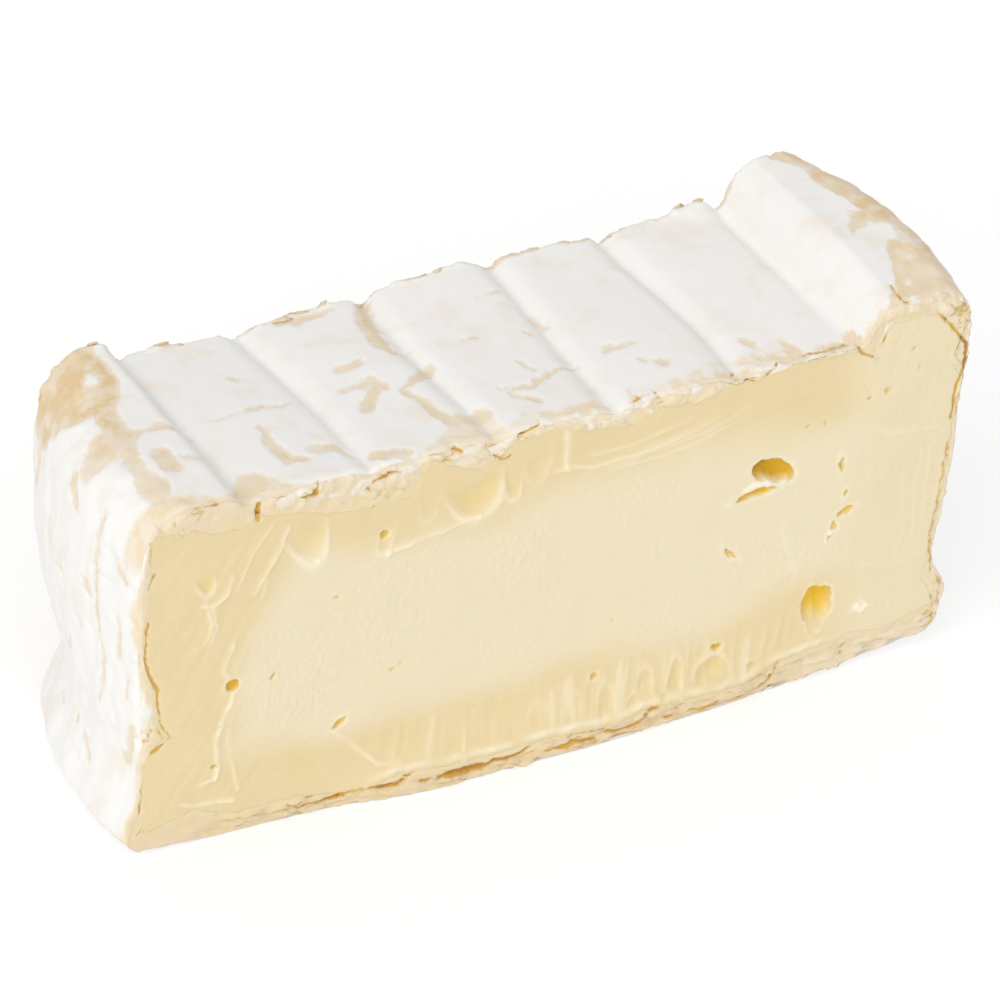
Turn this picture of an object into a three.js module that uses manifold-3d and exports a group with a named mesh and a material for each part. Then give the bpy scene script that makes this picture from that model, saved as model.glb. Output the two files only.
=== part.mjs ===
// Thick slab of a soft white-rinded cheese, cut right across a tall wheel by two parallel knife cuts.
// Millimetres, +Z up. The origin is the middle of the base. The front cut face looks along -Y and the
// back one along +Y, the rinded ends of the wheel are at -X and +X, and the top's drain grooves run along Y.

import * as THREE from "three";
import { mergeVertices } from "three/addons/utils/BufferGeometryUtils.js";
import Module from "manifold-3d";

// Driving dimensions: the wheel and where the knife went through it.
const wheelRadius = 95;
const wheelHeight = 78;
const slabDepth = 57.5;
const wheelAxisY = -10; // the wheel's own axis stands a little nearer the front cut

// The rolled edges of the wheel, seen at the slab's ends.
const rimRadius = { left: 11, right: 8 };
const baseRadius = 4;
const rightRim = { foot: 65, crest: 76, frontRise: 8.5, middleRise: 11.5, backRise: 11.8 };
const leftRim = { foot: 69.5, crest: 75, frontRise: 2.5, middleRise: 3.5, backRise: 4.8 };
const rimCurl = { x: -80, y: 21, radius: 9, rise: 1.2 }; // knob where the left rim meets the back cut

// The soft side sinks between its shoulder and its foot.
const waist = { rightDepth: 3.2, leftFrontDepth: 1, leftBackDepth: 6, height: 18, spread: 14 };
const shoulder = {
  left: { depth: 1.7, height: 57, spread: 14 },
  right: { depth: 2.2, height: 66, spread: 12 },
};
const flare = {
  left: { depth: 1.7, height: 5, spread: 8, lean: 1.4 }, // leans out towards the front cut
  right: { depth: 3.5, height: 11.5, spread: 6, lean: 0 },
};
const rightLift = { height: 3.4, start: 48 }; // the base turns up towards the ends
const leftLift = { height: 1, start: 66 };
// Paste that slumps out of the front cut.
const footBulge = { depth: 3.8, x: 3, spread: 44, height: 13 };
const faceBulge = 0.8;

// Grooves that the draining rack left across the top, with a soft pillow between each two.
const groove = {
  count: 6,
  pitch: 27.9,
  firstX: -71.5,
  halfWidth: 3.6,
  frontDepth: 1.1,
  backDepth: 2.2,
  sway: 1.1,
};
const pillowRise = 1.3;
// The top swells to the right, most beside the back cut.
const crownRise = { height: 2, from: -45, to: 10 };

// The cut edge of the rind: a proud crumbly lip, and a crack where it parts from the paste.
const rindThickness = 3.4;
const rindLip = 0.5;
const rindCrack = { depth: 1.8, halfWidth: 1.5, wander: 17 };
const crag = { depth: 0.9, size: 11 };
const lump = { depth: 0.6, size: 34 };

// Eyes in the front cut: the middle of each on the face, the size of its hollow, and its tilt in degrees.
const frontEyes = [
  { x: 48.4, z: 55.2, width: 11.5, height: 7.5, depth: 7, tilt: -4 },
  { x: 43.6, z: 51.6, width: 6, height: 2.8, depth: 3.5, tilt: 14 },
  { x: 62, z: 19.4, width: 6.4, height: 10.5, depth: 4.6, tilt: -6 },
  { x: -73.4, z: 36.5, width: 3, height: 3, depth: 3.4, tilt: 0 },
  { x: -48.9, z: 21, width: 4.6, height: 1.8, depth: 2.4, tilt: 34 },
  { x: 64.2, z: 51, width: 2.2, height: 3, depth: 2, tilt: 0 },
  { x: 65.4, z: 40, width: 4.2, height: 2.6, depth: 2.2, tilt: 42 },
  { x: 39.4, z: 37, width: 3.2, height: 1.8, depth: 2, tilt: -50 },
  { x: 38.6, z: 14.5, width: 2.8, height: 2.2, depth: 2, tilt: 0 },
  { x: -40.7, z: 63, width: 2.8, height: 2.4, depth: 2, tilt: 0 },
];

// Eyes in the back cut are strewn over the paste by a seeded draw.
const backEyes = { count: 9, seed: 7, reachX: 66, lowZ: 14, highZ: 60, smallest: 2.4, largest: 8 };

// Grid lines: close together beside the rind and even between.
const edgeRows = { x: [0, 1.4, 3.2, 5.2, 8], y: [0, 1.6, 4], z: [0, 1.4, 3.2, 5.2] };
const evenCells = { x: 42, y: 10, z: 17 };
const eyeSides = 10;
const eyeRings = 8;

const wasm = await Module();
wasm.setup();

function clamp01(t) {
  return Math.min(Math.max(t, 0), 1);
}

function smooth(from, to, value) {
  const t = clamp01((value - from) / (to - from));
  return t * t * (3 - 2 * t);
}

function hump(distance, spread) {
  return Math.exp(-((distance / spread) ** 2));
}

// Smooth unevenness from -1 to 1, with lumps about `size` apart.
function unevenness(x, y, z, size, seed) {
  const k = (2 * Math.PI) / size;
  return (
    (Math.sin(k * (0.83 * x + 0.37 * y + 0.21 * z) + 1.7 * seed) +
      Math.sin(k * (-0.29 * x + 0.71 * y + 0.55 * z) + 2.9 * seed) +
      Math.sin(k * (0.43 * x - 0.38 * y + 0.79 * z) + 4.3 * seed)) /
    3
  );
}

// Half the wheel's chord along X, at a distance y from the middle of the slab.
function halfChord(y) {
  return Math.sqrt(wheelRadius ** 2 - (y - wheelAxisY) ** 2);
}

// A value that runs from front to middle to back, along the depth of the slab.
function alongDepth(y, front, middle, back) {
  const t = y / (slabDepth / 2);
  return t < 0 ? middle + (front - middle) * t * t : middle + (back - middle) * t * t;
}

function rimRise(x, y) {
  const rim = x > 0 ? rightRim : leftRim;
  const rise = alongDepth(y, rim.frontRise, rim.middleRise, rim.backRise);
  const knob = rimCurl.rise * hump(Math.hypot(x - rimCurl.x, y - rimCurl.y), rimCurl.radius);
  return rise * smooth(rim.foot, rim.crest, Math.abs(x)) + knob;
}

function drainRelief(x, y) {
  let relief = 0;
  const depth = groove.frontDepth + (groove.backDepth - groove.frontDepth) * (0.5 + y / slabDepth);
  for (let i = 0; i < groove.count; i++) {
    const line = groove.firstX + i * groove.pitch + groove.sway * Math.sin(y / 14 + 2.1 * i);
    relief -= depth * hump(x - line, groove.halfWidth);
  }
  const pillows = 1 - Math.cos((2 * Math.PI * (x - groove.firstX)) / groove.pitch);
  const middle = 1 - smooth(leftRim.foot, leftRim.crest, Math.abs(x));
  const crown = crownRise.height * smooth(crownRise.from, crownRise.to, x) * (0.5 + y / slabDepth);
  return relief + ((pillowRise / 2) * pillows + crown) * middle;
}

function sideRelief(x, y, z) {
  const back = 0.5 + y / slabDepth;
  const leftDepth = waist.leftFrontDepth + (waist.leftBackDepth - waist.leftFrontDepth) * back;
  const sunk = (x > 0 ? waist.rightDepth : leftDepth) * hump(z - waist.height, waist.spread);
  const swell = x > 0 ? shoulder.right : shoulder.left;
  const full = swell.depth * hump(z - swell.height, swell.spread);
  const spill = x > 0 ? flare.right : flare.left;
  const foot = spill.depth * hump(z - spill.height, spill.spread);
  return full * (1 + (0.8 * y) / slabDepth) + foot * (1 - (spill.lean * y) / slabDepth) - sunk;
}

function baseLift(x) {
  const lift = x > 0 ? rightLift : leftLift;
  return lift.height * smooth(lift.start, wheelRadius, Math.abs(x)) ** 1.5;
}

// Rounds the corners of the wheel's section: square rings around a corner's centre become arcs.
function roundCorner(x, z) {
  const isTop = z > wheelHeight / 2;
  const topRadius = x > 0 ? rimRadius.right : rimRadius.left;
  const radius = isTop ? topRadius : baseRadius;
  const beyondX = Math.max(Math.abs(x) - (wheelRadius - radius), 0);
  const beyondZ = Math.max((isTop ? z : wheelHeight - z) - (wheelHeight - radius), 0);
  if (beyondX === 0 || beyondZ === 0) return [x, z];
  const pull = 1 - Math.max(beyondX, beyondZ) / Math.hypot(beyondX, beyondZ);
  return [x - Math.sign(x) * beyondX * pull, z + (isTop ? -1 : 1) * beyondZ * pull];
}

// How far a cut face stands out at a place `inset` from the rind's outer side.
function cutRelief(x, y, z, inset) {
  const stretch = 0.55 + 0.45 * unevenness(x, y, z, rindCrack.wander, y > 0 ? 5 : 2);
  const crack = rindCrack.depth * stretch * hump(inset - rindThickness, rindCrack.halfWidth);
  const lip = rindLip * (1 - smooth(0.6 * rindThickness, rindThickness, inset));
  const rough = crag.depth * unevenness(x, y, z, crag.size, 3) * (1 - smooth(rindThickness, 9, inset));
  const swell = faceBulge * smooth(0, 30, inset);
  const slump = footBulge.depth * hump(x - footBulge.x, footBulge.spread) * hump(z, footBulge.height);
  return lip + rough + swell + (y < 0 ? slump : 0) - crack;
}

// Takes a place in the plain block of the wheel's size to its place on the cheese.
function shapeOfCheese(x, y, z) {
  const side = Math.abs(x) / wheelRadius;
  const level = z / wheelHeight;
  const inset = Math.min(wheelRadius - Math.abs(x), wheelHeight - z, z);
  const isCut = Math.abs(y) > slabDepth / 2 - 1e-3;
  const [roundX, roundZ] = roundCorner(x, z);

  let px = (roundX * halfChord(y)) / wheelRadius;
  let pz = roundZ;
  px += Math.sign(x) * smooth(0.55, 1, side) * sideRelief(x, y, z);
  pz += smooth(0.55, 1, level) * (rimRise(px, y) + drainRelief(px, y));
  pz += (1 - smooth(0, 0.4, level)) * baseLift(px);

  const offBase = smooth(0, 0.06, level);
  const bumps = lump.depth * unevenness(px, y, pz, lump.size, 1) * offBase;
  px += Math.sign(x) * smooth(0.6, 1, side) * bumps;
  pz += smooth(0.6, 1, level) * bumps;

  const py = isCut ? y + Math.sign(y) * cutRelief(px, y, pz, inset) : y;
  return [px, py, pz];
}

// Grid lines from -half to half, with the given rows at both ends.
function gridLines(half, rows, cells) {
  const inner = half - rows[rows.length - 1];
  const even = Array.from({ length: cells + 1 }, (_, i) => -inner + (2 * inner * i) / cells);
  const ends = rows.slice(0, -1).map((row) => half - row);
  return [...ends.map((end) => -end), ...even, ...ends.reverse()];
}

function solidOf(geometry) {
  const bare = new THREE.BufferGeometry().setAttribute("position", geometry.getAttribute("position"));
  bare.setIndex(geometry.getIndex());
  const merged = mergeVertices(bare, 1e-4);
  const triVerts = new Uint32Array(merged.index.array);
  const vertProperties = merged.getAttribute("position").array;
  return new wasm.Manifold(new wasm.Mesh({ numProp: 3, vertProperties, triVerts }));
}

function geometryOf(solid) {
  const mesh = solid.getMesh();
  const geometry = new THREE.BufferGeometry();
  geometry.setAttribute("position", new THREE.BufferAttribute(mesh.vertProperties, 3));
  geometry.setIndex(new THREE.BufferAttribute(mesh.triVerts, 1));
  return geometry;
}

function cheeseBody() {
  const lines = {
    x: gridLines(wheelRadius, edgeRows.x, evenCells.x),
    y: gridLines(slabDepth / 2, edgeRows.y, evenCells.y),
    z: gridLines(wheelHeight / 2, edgeRows.z, evenCells.z),
  };
  const cells = [lines.x.length - 1, lines.y.length - 1, lines.z.length - 1];
  const block = new THREE.BoxGeometry(2, 2, 2, ...cells);
  const position = block.getAttribute("position");
  for (let v = 0; v < position.count; v++) {
    const [i, j, k] = cells.map((n, axis) => Math.round(((position.getComponent(v, axis) + 1) / 2) * n));
    position.setXYZ(v, ...shapeOfCheese(lines.x[i], lines.y[j], lines.z[k] + wheelHeight / 2));
  }
  return solidOf(block);
}

// A gas hole that opens in a cut face: a stretched ball whose middle lies on the face.
function eyeHollow({ x, z, width, height, depth, tilt }, faceY) {
  const ball = new THREE.SphereGeometry(1, eyeSides, eyeRings);
  ball.scale(width / 2, depth, height / 2);
  ball.rotateY(-THREE.MathUtils.degToRad(tilt));
  ball.translate(x, faceY, z);
  return solidOf(ball);
}

// Repeatable numbers from 0 to 1.
function seededDraw(seed) {
  let state = seed;
  return () => {
    state = (state * 1103515245 + 12345) % 2147483648;
    return state / 2147483648;
  };
}

function strewnEyes({ count, seed, reachX, lowZ, highZ, smallest, largest }) {
  const draw = seededDraw(seed);
  return Array.from({ length: count }, (_, i) => {
    const share = (i + 0.5) / count;
    const width = smallest + (largest - smallest) * draw() ** 3;
    return {
      x: reachX * (2 * share - 1),
      z: lowZ + (highZ - lowZ) * draw(),
      width,
      height: width * (0.6 + 0.5 * draw()),
      depth: width * 0.7,
      tilt: 80 * (draw() - 0.5),
    };
  });
}

function cutEyes(body) {
  const hollows = [
    ...frontEyes.map((eye) => eyeHollow(eye, -slabDepth / 2 - faceBulge)),
    ...strewnEyes(backEyes).map((eye) => eyeHollow(eye, slabDepth / 2 + faceBulge)),
  ];
  return hollows.reduce((left, hollow) => left.subtract(hollow), body);
}

// Stands the slab on Z = 0 with its bounding box centred over the origin.
function standAtOrigin(geometry) {
  geometry.computeBoundingBox();
  const middle = geometry.boundingBox.getCenter(new THREE.Vector3());
  return geometry.translate(-middle.x, -middle.y, -geometry.boundingBox.min.z);
}

const bloomyCheese = new THREE.MeshStandardMaterial({ color: 0xf0e6d2, roughness: 0.6, metalness: 0 });
const cheese = new THREE.Mesh(standAtOrigin(geometryOf(cutEyes(cheeseBody()))), bloomyCheese);
cheese.name = "brie_slab";

const part = new THREE.Group();
part.add(cheese);

export default part;
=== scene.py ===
import math

import bpy
import numpy as np
from mathutils import Matrix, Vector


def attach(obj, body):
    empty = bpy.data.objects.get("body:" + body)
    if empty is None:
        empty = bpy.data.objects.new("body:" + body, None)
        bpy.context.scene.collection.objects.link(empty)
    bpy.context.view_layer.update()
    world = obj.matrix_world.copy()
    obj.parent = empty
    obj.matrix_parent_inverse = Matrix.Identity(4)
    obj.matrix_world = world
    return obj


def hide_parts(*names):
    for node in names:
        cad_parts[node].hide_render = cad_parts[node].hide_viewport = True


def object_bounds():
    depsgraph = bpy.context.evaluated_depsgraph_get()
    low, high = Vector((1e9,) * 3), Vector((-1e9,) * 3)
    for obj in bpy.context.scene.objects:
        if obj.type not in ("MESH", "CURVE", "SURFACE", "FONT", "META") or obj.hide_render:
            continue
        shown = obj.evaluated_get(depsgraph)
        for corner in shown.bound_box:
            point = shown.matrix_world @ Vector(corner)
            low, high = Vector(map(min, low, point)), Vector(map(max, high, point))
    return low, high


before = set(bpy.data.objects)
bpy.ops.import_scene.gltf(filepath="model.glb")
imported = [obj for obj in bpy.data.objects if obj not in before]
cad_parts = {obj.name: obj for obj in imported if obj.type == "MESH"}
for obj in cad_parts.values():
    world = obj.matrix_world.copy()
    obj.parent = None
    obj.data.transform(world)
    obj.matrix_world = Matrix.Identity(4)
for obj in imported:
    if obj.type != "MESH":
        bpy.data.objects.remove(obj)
cadLow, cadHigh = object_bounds()
cadBox = [[float(v) for v in cadLow], [float(v) for v in cadHigh]]
print("frame loaded, box in metres", cadBox)

# the slab is drawn in millimetres round the wheel's own middle; this is where the CAD frame's origin lies
middle = np.array([-0.058, -1.8701, 0.0])


def smooth(low, high, value):
    t = np.clip((value - low) / (high - low), 0, 1)  # cubic step from 0 at low to 1 at high
    return t * t * (3 - 2 * t)


def hump(offset, spread):
    return np.exp(-(offset / spread) ** 2)  # bell of height one


def mix(a, b, t):
    return a + (b - a) * t


def along(table, value):
    pairs = np.array(sorted(table), dtype=float)  # straight lines between pairs sorted by the first number
    return np.interp(value, pairs[:, 0], pairs[:, 1])


# random bits of a lattice point: whole numbers multiplied and folded, the same in every run
def stir(ix, iy, iz, seed):
    h = ix.astype(np.uint64) * np.uint64(0x9E3779B97F4A7C15)
    h = h + iy.astype(np.uint64) * np.uint64(0xC2B2AE3D27D4EB4F)
    h = h + iz.astype(np.uint64) * np.uint64(0x165667B19E3779F9)
    h = h + np.uint64(seed * 0x27D4EB2F165667C5 % 2 ** 64)
    h = (h ^ (h >> np.uint64(30))) * np.uint64(0xBF58476D1CE4E5B9)
    h = (h ^ (h >> np.uint64(27))) * np.uint64(0x94D049BB133111EB)
    return h ^ (h >> np.uint64(31))


def unit(bits, which):
    return ((bits >> np.uint64(20 * which)) & np.uint64(0xFFFFF)) / 1048575.0


# gradient noise: random slopes at lattice points, blended by a fifth-power curve; each octave has half the size and
# half the strength of the last, and is shifted so that their lattices don't line up
def grain(points, size, seed, octaves=1):
    q = points / np.asarray(size, dtype=float)
    total, weight, amount = 0.0, 0.0, 1.0
    for octave in range(octaves):
        cell = np.floor(q).astype(np.int64)
        f = q - cell
        w = f * f * f * (f * (f * 6 - 15) + 10)
        for corner in range(8):
            c = np.array([corner & 1, corner >> 1 & 1, corner >> 2 & 1])
            bits = stir(cell[..., 0] + c[0], cell[..., 1] + c[1], cell[..., 2] + c[2], seed + 31 * octave)
            slope = sum((f[..., i] - c[i]) * (2 * unit(bits, i) - 1) for i in range(3))
            share = 1.0
            for i in range(3):
                share = share * (w[..., i] if c[i] else 1 - w[..., i])
            total = total + amount * share * slope
        weight += amount
        amount *= 0.5
        q = q * 2.03 + 17.3
    return 1.9 * total / weight


# scattered seeds, one to a cell: distance to the nearest, to the next, and the nearest one's random bits
def flakes(points, size, seed):
    q = points / np.asarray(size, dtype=float)
    cell = np.floor(q).astype(np.int64)
    near = np.full(q.shape[:-1], 9.0)
    far = near.copy()
    mark = np.zeros(q.shape[:-1], dtype=np.uint64)
    for turn in range(27):
        step = np.array([turn % 3 - 1, turn // 3 % 3 - 1, turn // 9 - 1])
        at = cell + step
        bits = stir(at[..., 0], at[..., 1], at[..., 2], seed)
        gap = np.sqrt(sum((at[..., i] + unit(bits, i) - q[..., i]) ** 2 for i in range(3)))
        closer = gap < near
        far = np.where(closer, near, np.minimum(far, gap))
        mark = np.where(closer, bits, mark)
        near = np.where(closer, gap, near)
    return near, far, mark


# nearest place on the line between two points: share along it, then the offsets from it
def nearestOn(a, b, start, end):
    da, db = end[0] - start[0], end[1] - start[1]
    t = np.clip(((a - start[0]) * da + (b - start[1]) * db) / max(da * da + db * db, 1e-9), 0, 1)
    return t, a - start[0] - t * da, b - start[1] - t * db


# signed distance in mm to the nearest drawn stroke: a row of (a, b, half width) points, negative inside
def strokeField(a, b, strokes):
    field = np.full(np.shape(a), 99.0)
    for stroke in strokes:
        row = list(stroke) if len(stroke) > 1 else [stroke[0], stroke[0]]
        for start, end in zip(row, row[1:]):
            t, offA, offB = nearestOn(a, b, start, end)
            field = np.minimum(field, np.hypot(offA, offB) - start[2] - t * (end[2] - start[2]))
    return field


# four-cornered faces of a grid, cells counted down and across; points past the last row or column wrap to the first
def gridQuads(cells, points):
    j, k = np.meshgrid(np.arange(cells[0]), np.arange(cells[1]), indexing="ij")
    nj, nk, wide = (j + 1) % points[0], (k + 1) % points[1], points[1]
    return np.stack([j * wide + k, j * wide + nk, nj * wide + nk, nj * wide + k], -1).reshape(-1, 4)


# the wheel's own sizes in mm: those of the solid, with finer grooves, a lower knob and two more bulges at the foot
slab = {
    "radius": 95.0, "height": 78.0, "depth": 57.5, "axisY": -10.0,
    "rimRadiusLeft": 11.0, "rimRadiusRight": 8.0, "baseRadius": 4.0,
    "rightRim": (65, 76, 8.5, 11.5, 11.8),  # foot, crest, rise at the front, middle and back
    "leftRim": (69.5, 75, 2.5, 3.5, 4.8),
    "curl": (-80, 21, 9, 0.2),  # x, y, radius, rise
    "waistRight": 3.2, "waistLeft": (1.0, 6.0), "waistHeight": 18, "waistSpread": 14,
    # rise, height and spread; the skews make shoulders fuller behind and flares fuller in front
    "shoulderLeft": (1.7, 57, 14), "shoulderRight": (2.2, 66, 12), "shoulderSkew": 0.8,
    "flareLeft": (1.7, 5, 8), "flareRight": (3.5, 11.5, 6), "flareSkew": 1.4,
    "rightLift": (3.4, 48), "leftLift": (1.0, 66), "liftPower": 1.5,  # rise of the base corner, where it starts
    "footBulges": [(3.8, 3, 44, 13), (1.9, -30, 13, 5), (0.7, 32, 42, 5)],  # depth, x, spread in x, spread in z
    "faceBulge": 0.8, "faceReach": 30,
    "groovePitch": 27.9, "grooveFirst": -71.5, "grooveHalf": 2.3,
    "grooveFront": 0.8, "grooveBack": 1.7, "grooveSway": 1.1, "grooveShare": (0.45, 0.8, 1, 1, 1, 1),
    "pillow": 0.8, "pillowPower": 0.6, "crown": (2.0, -45, 10), "lump": (0.6, 34),
}
halfDepth = slab["depth"] / 2


def backShare(y):
    return 0.5 + y / slab["depth"]


def halfChord(y):
    return np.sqrt(slab["radius"] ** 2 - (y - slab["axisY"]) ** 2)  # circle of the wheel at this depth


# slow unevenness: three sines along skew directions
def uneven(x, y, z, size, seed):
    k = 2 * np.pi / size
    return (np.sin(k * (0.83 * x + 0.37 * y + 0.21 * z) + 1.7 * seed)
            + np.sin(k * (-0.29 * x + 0.71 * y + 0.55 * z) + 2.9 * seed)
            + np.sin(k * (0.43 * x - 0.38 * y + 0.79 * z) + 4.3 * seed)) / 3


# raised rims of the top: a smooth step outwards, its height a parabola from front to back
def rimRise(x, y):
    t = y / halfDepth
    rise = 0.0
    for rim, where in ((slab["rightRim"], x > 0), (slab["leftRim"], x <= 0)):
        foot, crest, front, mid, back = rim
        height = np.where(t < 0, mid + (front - mid) * t * t, mid + (back - mid) * t * t)
        rise = rise + np.where(where, height * smooth(foot, crest, np.abs(x)), 0)
    cx, cy, radius, curl = slab["curl"]
    return rise + curl * hump(np.hypot(x - cx, y - cy), radius)


def grooveLine(which, y):
    return slab["grooveFirst"] + which * slab["groovePitch"] + slab["grooveSway"] * np.sin(y / 14 + 2.1 * which)


# drain grooves across the top with soft pillows between them and a crown towards the back
def drainRelief(x, y):
    depth = mix(slab["grooveFront"], slab["grooveBack"], backShare(y))
    relief = sum(-depth * share * hump(x - grooveLine(i, y), slab["grooveHalf"])
                 for i, share in enumerate(slab["grooveShare"]))
    pillow = 2 * np.abs(np.sin(np.pi * (x - slab["grooveFirst"]) / slab["groovePitch"])) ** slab["pillowPower"]
    inside = 1 - smooth(slab["leftRim"][0], slab["leftRim"][1], np.abs(x))
    height, start, end = slab["crown"]
    crown = height * smooth(start, end, x) * backShare(y)
    return relief + (slab["pillow"] / 2 * pillow + crown) * inside


def bell(label, z):
    rise, height, spread = slab[label]
    return rise * hump(z - height, spread)


# profile of the rounded ends: a full shoulder, a sunk waist and a flared foot
def sideRelief(x, y, z):
    waist = np.where(x > 0, slab["waistRight"], mix(*slab["waistLeft"], backShare(y)))
    sunk = waist * hump(z - slab["waistHeight"], slab["waistSpread"])
    swell = np.where(x > 0, bell("shoulderRight", z), bell("shoulderLeft", z))
    swell = swell * (1 + slab["shoulderSkew"] * y / slab["depth"])
    flare = bell("flareLeft", z) * (1 - slab["flareSkew"] * y / slab["depth"])
    return swell + np.where(x > 0, bell("flareRight", z), flare) - sunk


def baseLift(x):
    right, left = [rise * smooth(start, slab["radius"], np.abs(x)) ** slab["liftPower"]
                   for rise, start in (slab["rightLift"], slab["leftLift"])]
    return np.where(x > 0, right, left)


# a square corner of the box pressed onto an arc
def roundCorner(x, z):
    top = z > slab["height"] / 2
    radius = np.where(top, np.where(x > 0, slab["rimRadiusRight"], slab["rimRadiusLeft"]), slab["baseRadius"])
    bx = np.maximum(np.abs(x) - (slab["radius"] - radius), 0)
    bz = np.maximum(np.where(top, z, slab["height"] - z) - (slab["height"] - radius), 0)
    pull = np.where((bx > 0) & (bz > 0), 1 - np.maximum(bx, bz) / np.maximum(np.hypot(bx, bz), 1e-9), 0)
    return x - np.sign(x) * bx * pull, z + np.where(top, -1, 1) * bz * pull


# box point to cheese point: corners rounded, ends curved, rims, grooves, waist and lumps added
def slabPoint(x, y, z):
    side, level = np.abs(x) / slab["radius"], z / slab["height"]
    px, pz = roundCorner(x, z)
    px = px * halfChord(y) / slab["radius"]
    px = px + np.sign(x) * smooth(0.55, 1, side) * sideRelief(x, y, z)
    pz = pz + smooth(0.55, 1, level) * (rimRise(px, y) + drainRelief(px, y))
    pz = pz + (1 - smooth(0, 0.4, level)) * baseLift(px)
    bump = slab["lump"][0] * uneven(px, y, pz, slab["lump"][1], 1) * smooth(0, 0.06, level)
    return px + np.sign(x) * smooth(0.6, 1, side) * bump, pz + smooth(0.6, 1, level) * bump


# how far the cut face stands out: a slight swell, and at the front bell-shaped slumps near the foot
def cutSwell(x, z, inset, front):
    bulges = slab["footBulges"] if front else []
    slump = sum(depth * hump(x - mid, spread) * hump(z, height) for depth, mid, spread, height in bulges)
    return slab["faceBulge"] * smooth(0, slab["faceReach"], inset) + slump


# where the rind ends and the paste begins on the front cut, (x, z) in mm; the back's line is drawn by noise
rindLine = {
    "top": [(-91.9, 76.3), (-86.5, 73.7), (-83.2, 74.2), (-77.8, 72.2), (-72.3, 72.1), (-69.1, 72.9),
            (-67.6, 73.6), (-59.2, 72), (-50.3, 69.6), (-44.8, 69.3), (-40.3, 69), (-34.4, 69.3), (-32, 74.5),
            (-30.8, 76.5), (-25.5, 73.9), (-18.4, 71.3), (-14.9, 73.2), (-10.9, 76.2), (-1.4, 76), (9.3, 73.4),
            (15.7, 72.6), (21.9, 75.5), (31.7, 73.4), (37, 76), (43.5, 75.5), (48.9, 77), (54.1, 78.2),
            (66, 78.4), (70.9, 75.5), (72.5, 77.7), (74.7, 81), (79.9, 81), (83.4, 81.4), (86, 80), (90, 77)],
    "right": [(90.2, 77.9), (93, 72.9), (93, 67.4), (91.8, 61.8), (91.5, 55.3), (91.3, 49.8), (90.4, 36.7),
              (89, 27.5), (89.6, 18.7), (89.4, 13.5), (88.5, 8)],
    "left": [(-90.8, 74.1), (-90.6, 66.4), (-91.9, 55.2), (-92.1, 48), (-88.8, 39.5), (-87.9, 30), (-86.2, 27.1),
             (-88.4, 26.1), (-91.3, 21.7), (-92.3, 16.7), (-92.1, 10.9), (-91, 5)],
    "low": [(-91.2, 6.2), (-82.1, 8.9), (-71.6, 5.2), (-62.8, 5.6), (-54.8, 5.3), (-44.4, 3.1), (-35.7, 5.4),
            (-27.1, 5.1), (-8, 4.7), (-1.4, 5.3), (7, 4.9), (16.4, 4.6), (20.8, 5.7), (29, 5.1), (38.5, 4),
            (46.9, 4.5), (54.5, 7.1), (64, 7.5), (68.6, 8), (72.4, 9.2), (79.6, 7.6), (89.8, 10.5)],
    "ragged": 0.45, "thinnest": 0.7, "thickest": 10.5, "backThickest": 9.0, "backRagged": 0.9, "walkRange": (0.3, 12),
    "seeds": {"top": 1, "right": 2, "low": 3, "left": 4}, "backSeed": 40,
    "backTop": (3.6, 2.6), "backEnd": (2.4, 1.4), "backLow": (4.2, 2.0),  # mean and swing
}


def lineNoise(value, seed):
    at = np.stack([value, np.full_like(value, 0.37), np.full_like(value, 0.61)], -1)
    return grain(at, 3.1, seed, 2), grain(at, 19.0, seed + 5, 2)


# rind thickness on one side of a cut, in box mm, along that side's own coordinate
def rindDepth(side, at, front):
    y = np.full_like(at, -halfDepth if front else halfDepth)
    full = np.full_like(at, slab["radius"])
    fine, coarse = lineNoise(at, rindLine["seeds"][side] + (0 if front else rindLine["backSeed"]))
    if not front:
        mean, swing = rindLine["backTop" if side == "top" else "backLow" if side == "low" else "backEnd"]
        wide = mean + swing * coarse + rindLine["backRagged"] * fine
        return np.clip(wide, rindLine["thinnest"], rindLine["backThickest"])
    if side in ("top", "low"):
        level = np.full_like(at, slab["height"] if side == "top" else 0.0)
        x, edge = slabPoint(at, y, level)
        goal = along(rindLine[side], x)
        depth = np.abs(edge - goal)
        for turn in range(4):  # the box is stretched near the top, so the depth is walked onto the line
            z = slabPoint(at, y, np.abs(level - depth))[1]
            depth = np.clip(depth + (z - goal) * (1 if side == "top" else -1), *rindLine["walkRange"])
    else:
        x, z = slabPoint(full if side == "right" else -full, y, at)
        goal = along([(b, a) for a, b in rindLine[side]], z)
        depth = np.abs(x) - np.abs(goal)
    return np.clip(depth + rindLine["ragged"] * fine, rindLine["thinnest"], rindLine["thickest"])


# a point of the cut at shares u across and v up, reaching past the rind line by the given overlap; then its distances
# inside that line and inside the border
def cutBox(u, v, front, overlap):
    wide, tall = slab["radius"], slab["height"]
    us, vs = np.linspace(0, 1, 1201), np.linspace(0, 1, 801)
    line = [np.interp(v, vs, rindDepth(side, vs * tall, front)) for side in ("left", "right")]
    line += [np.interp(u, us, rindDepth(side, (2 * us - 1) * wide, front)) for side in ("low", "top")]
    left, right, low, top = [n - np.minimum(overlap, 0.6 * n) for n in line]
    # each side's line is felt only near that side, so the grid never folds
    x = mix(-wide, wide, u) + left * (1 - smooth(0, 0.3, u)) - right * smooth(0.7, 1, u)
    z = mix(0, tall, v) + low * (1 - smooth(0, 0.4, v)) - top * smooth(0.6, 1, v)

    def within(left, right, low, top):
        return np.minimum(np.minimum(x + wide - left, wide - right - x), np.minimum(z - low, tall - top - z))
    return x, z, within(*line), within(left, right, low, top)


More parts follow.
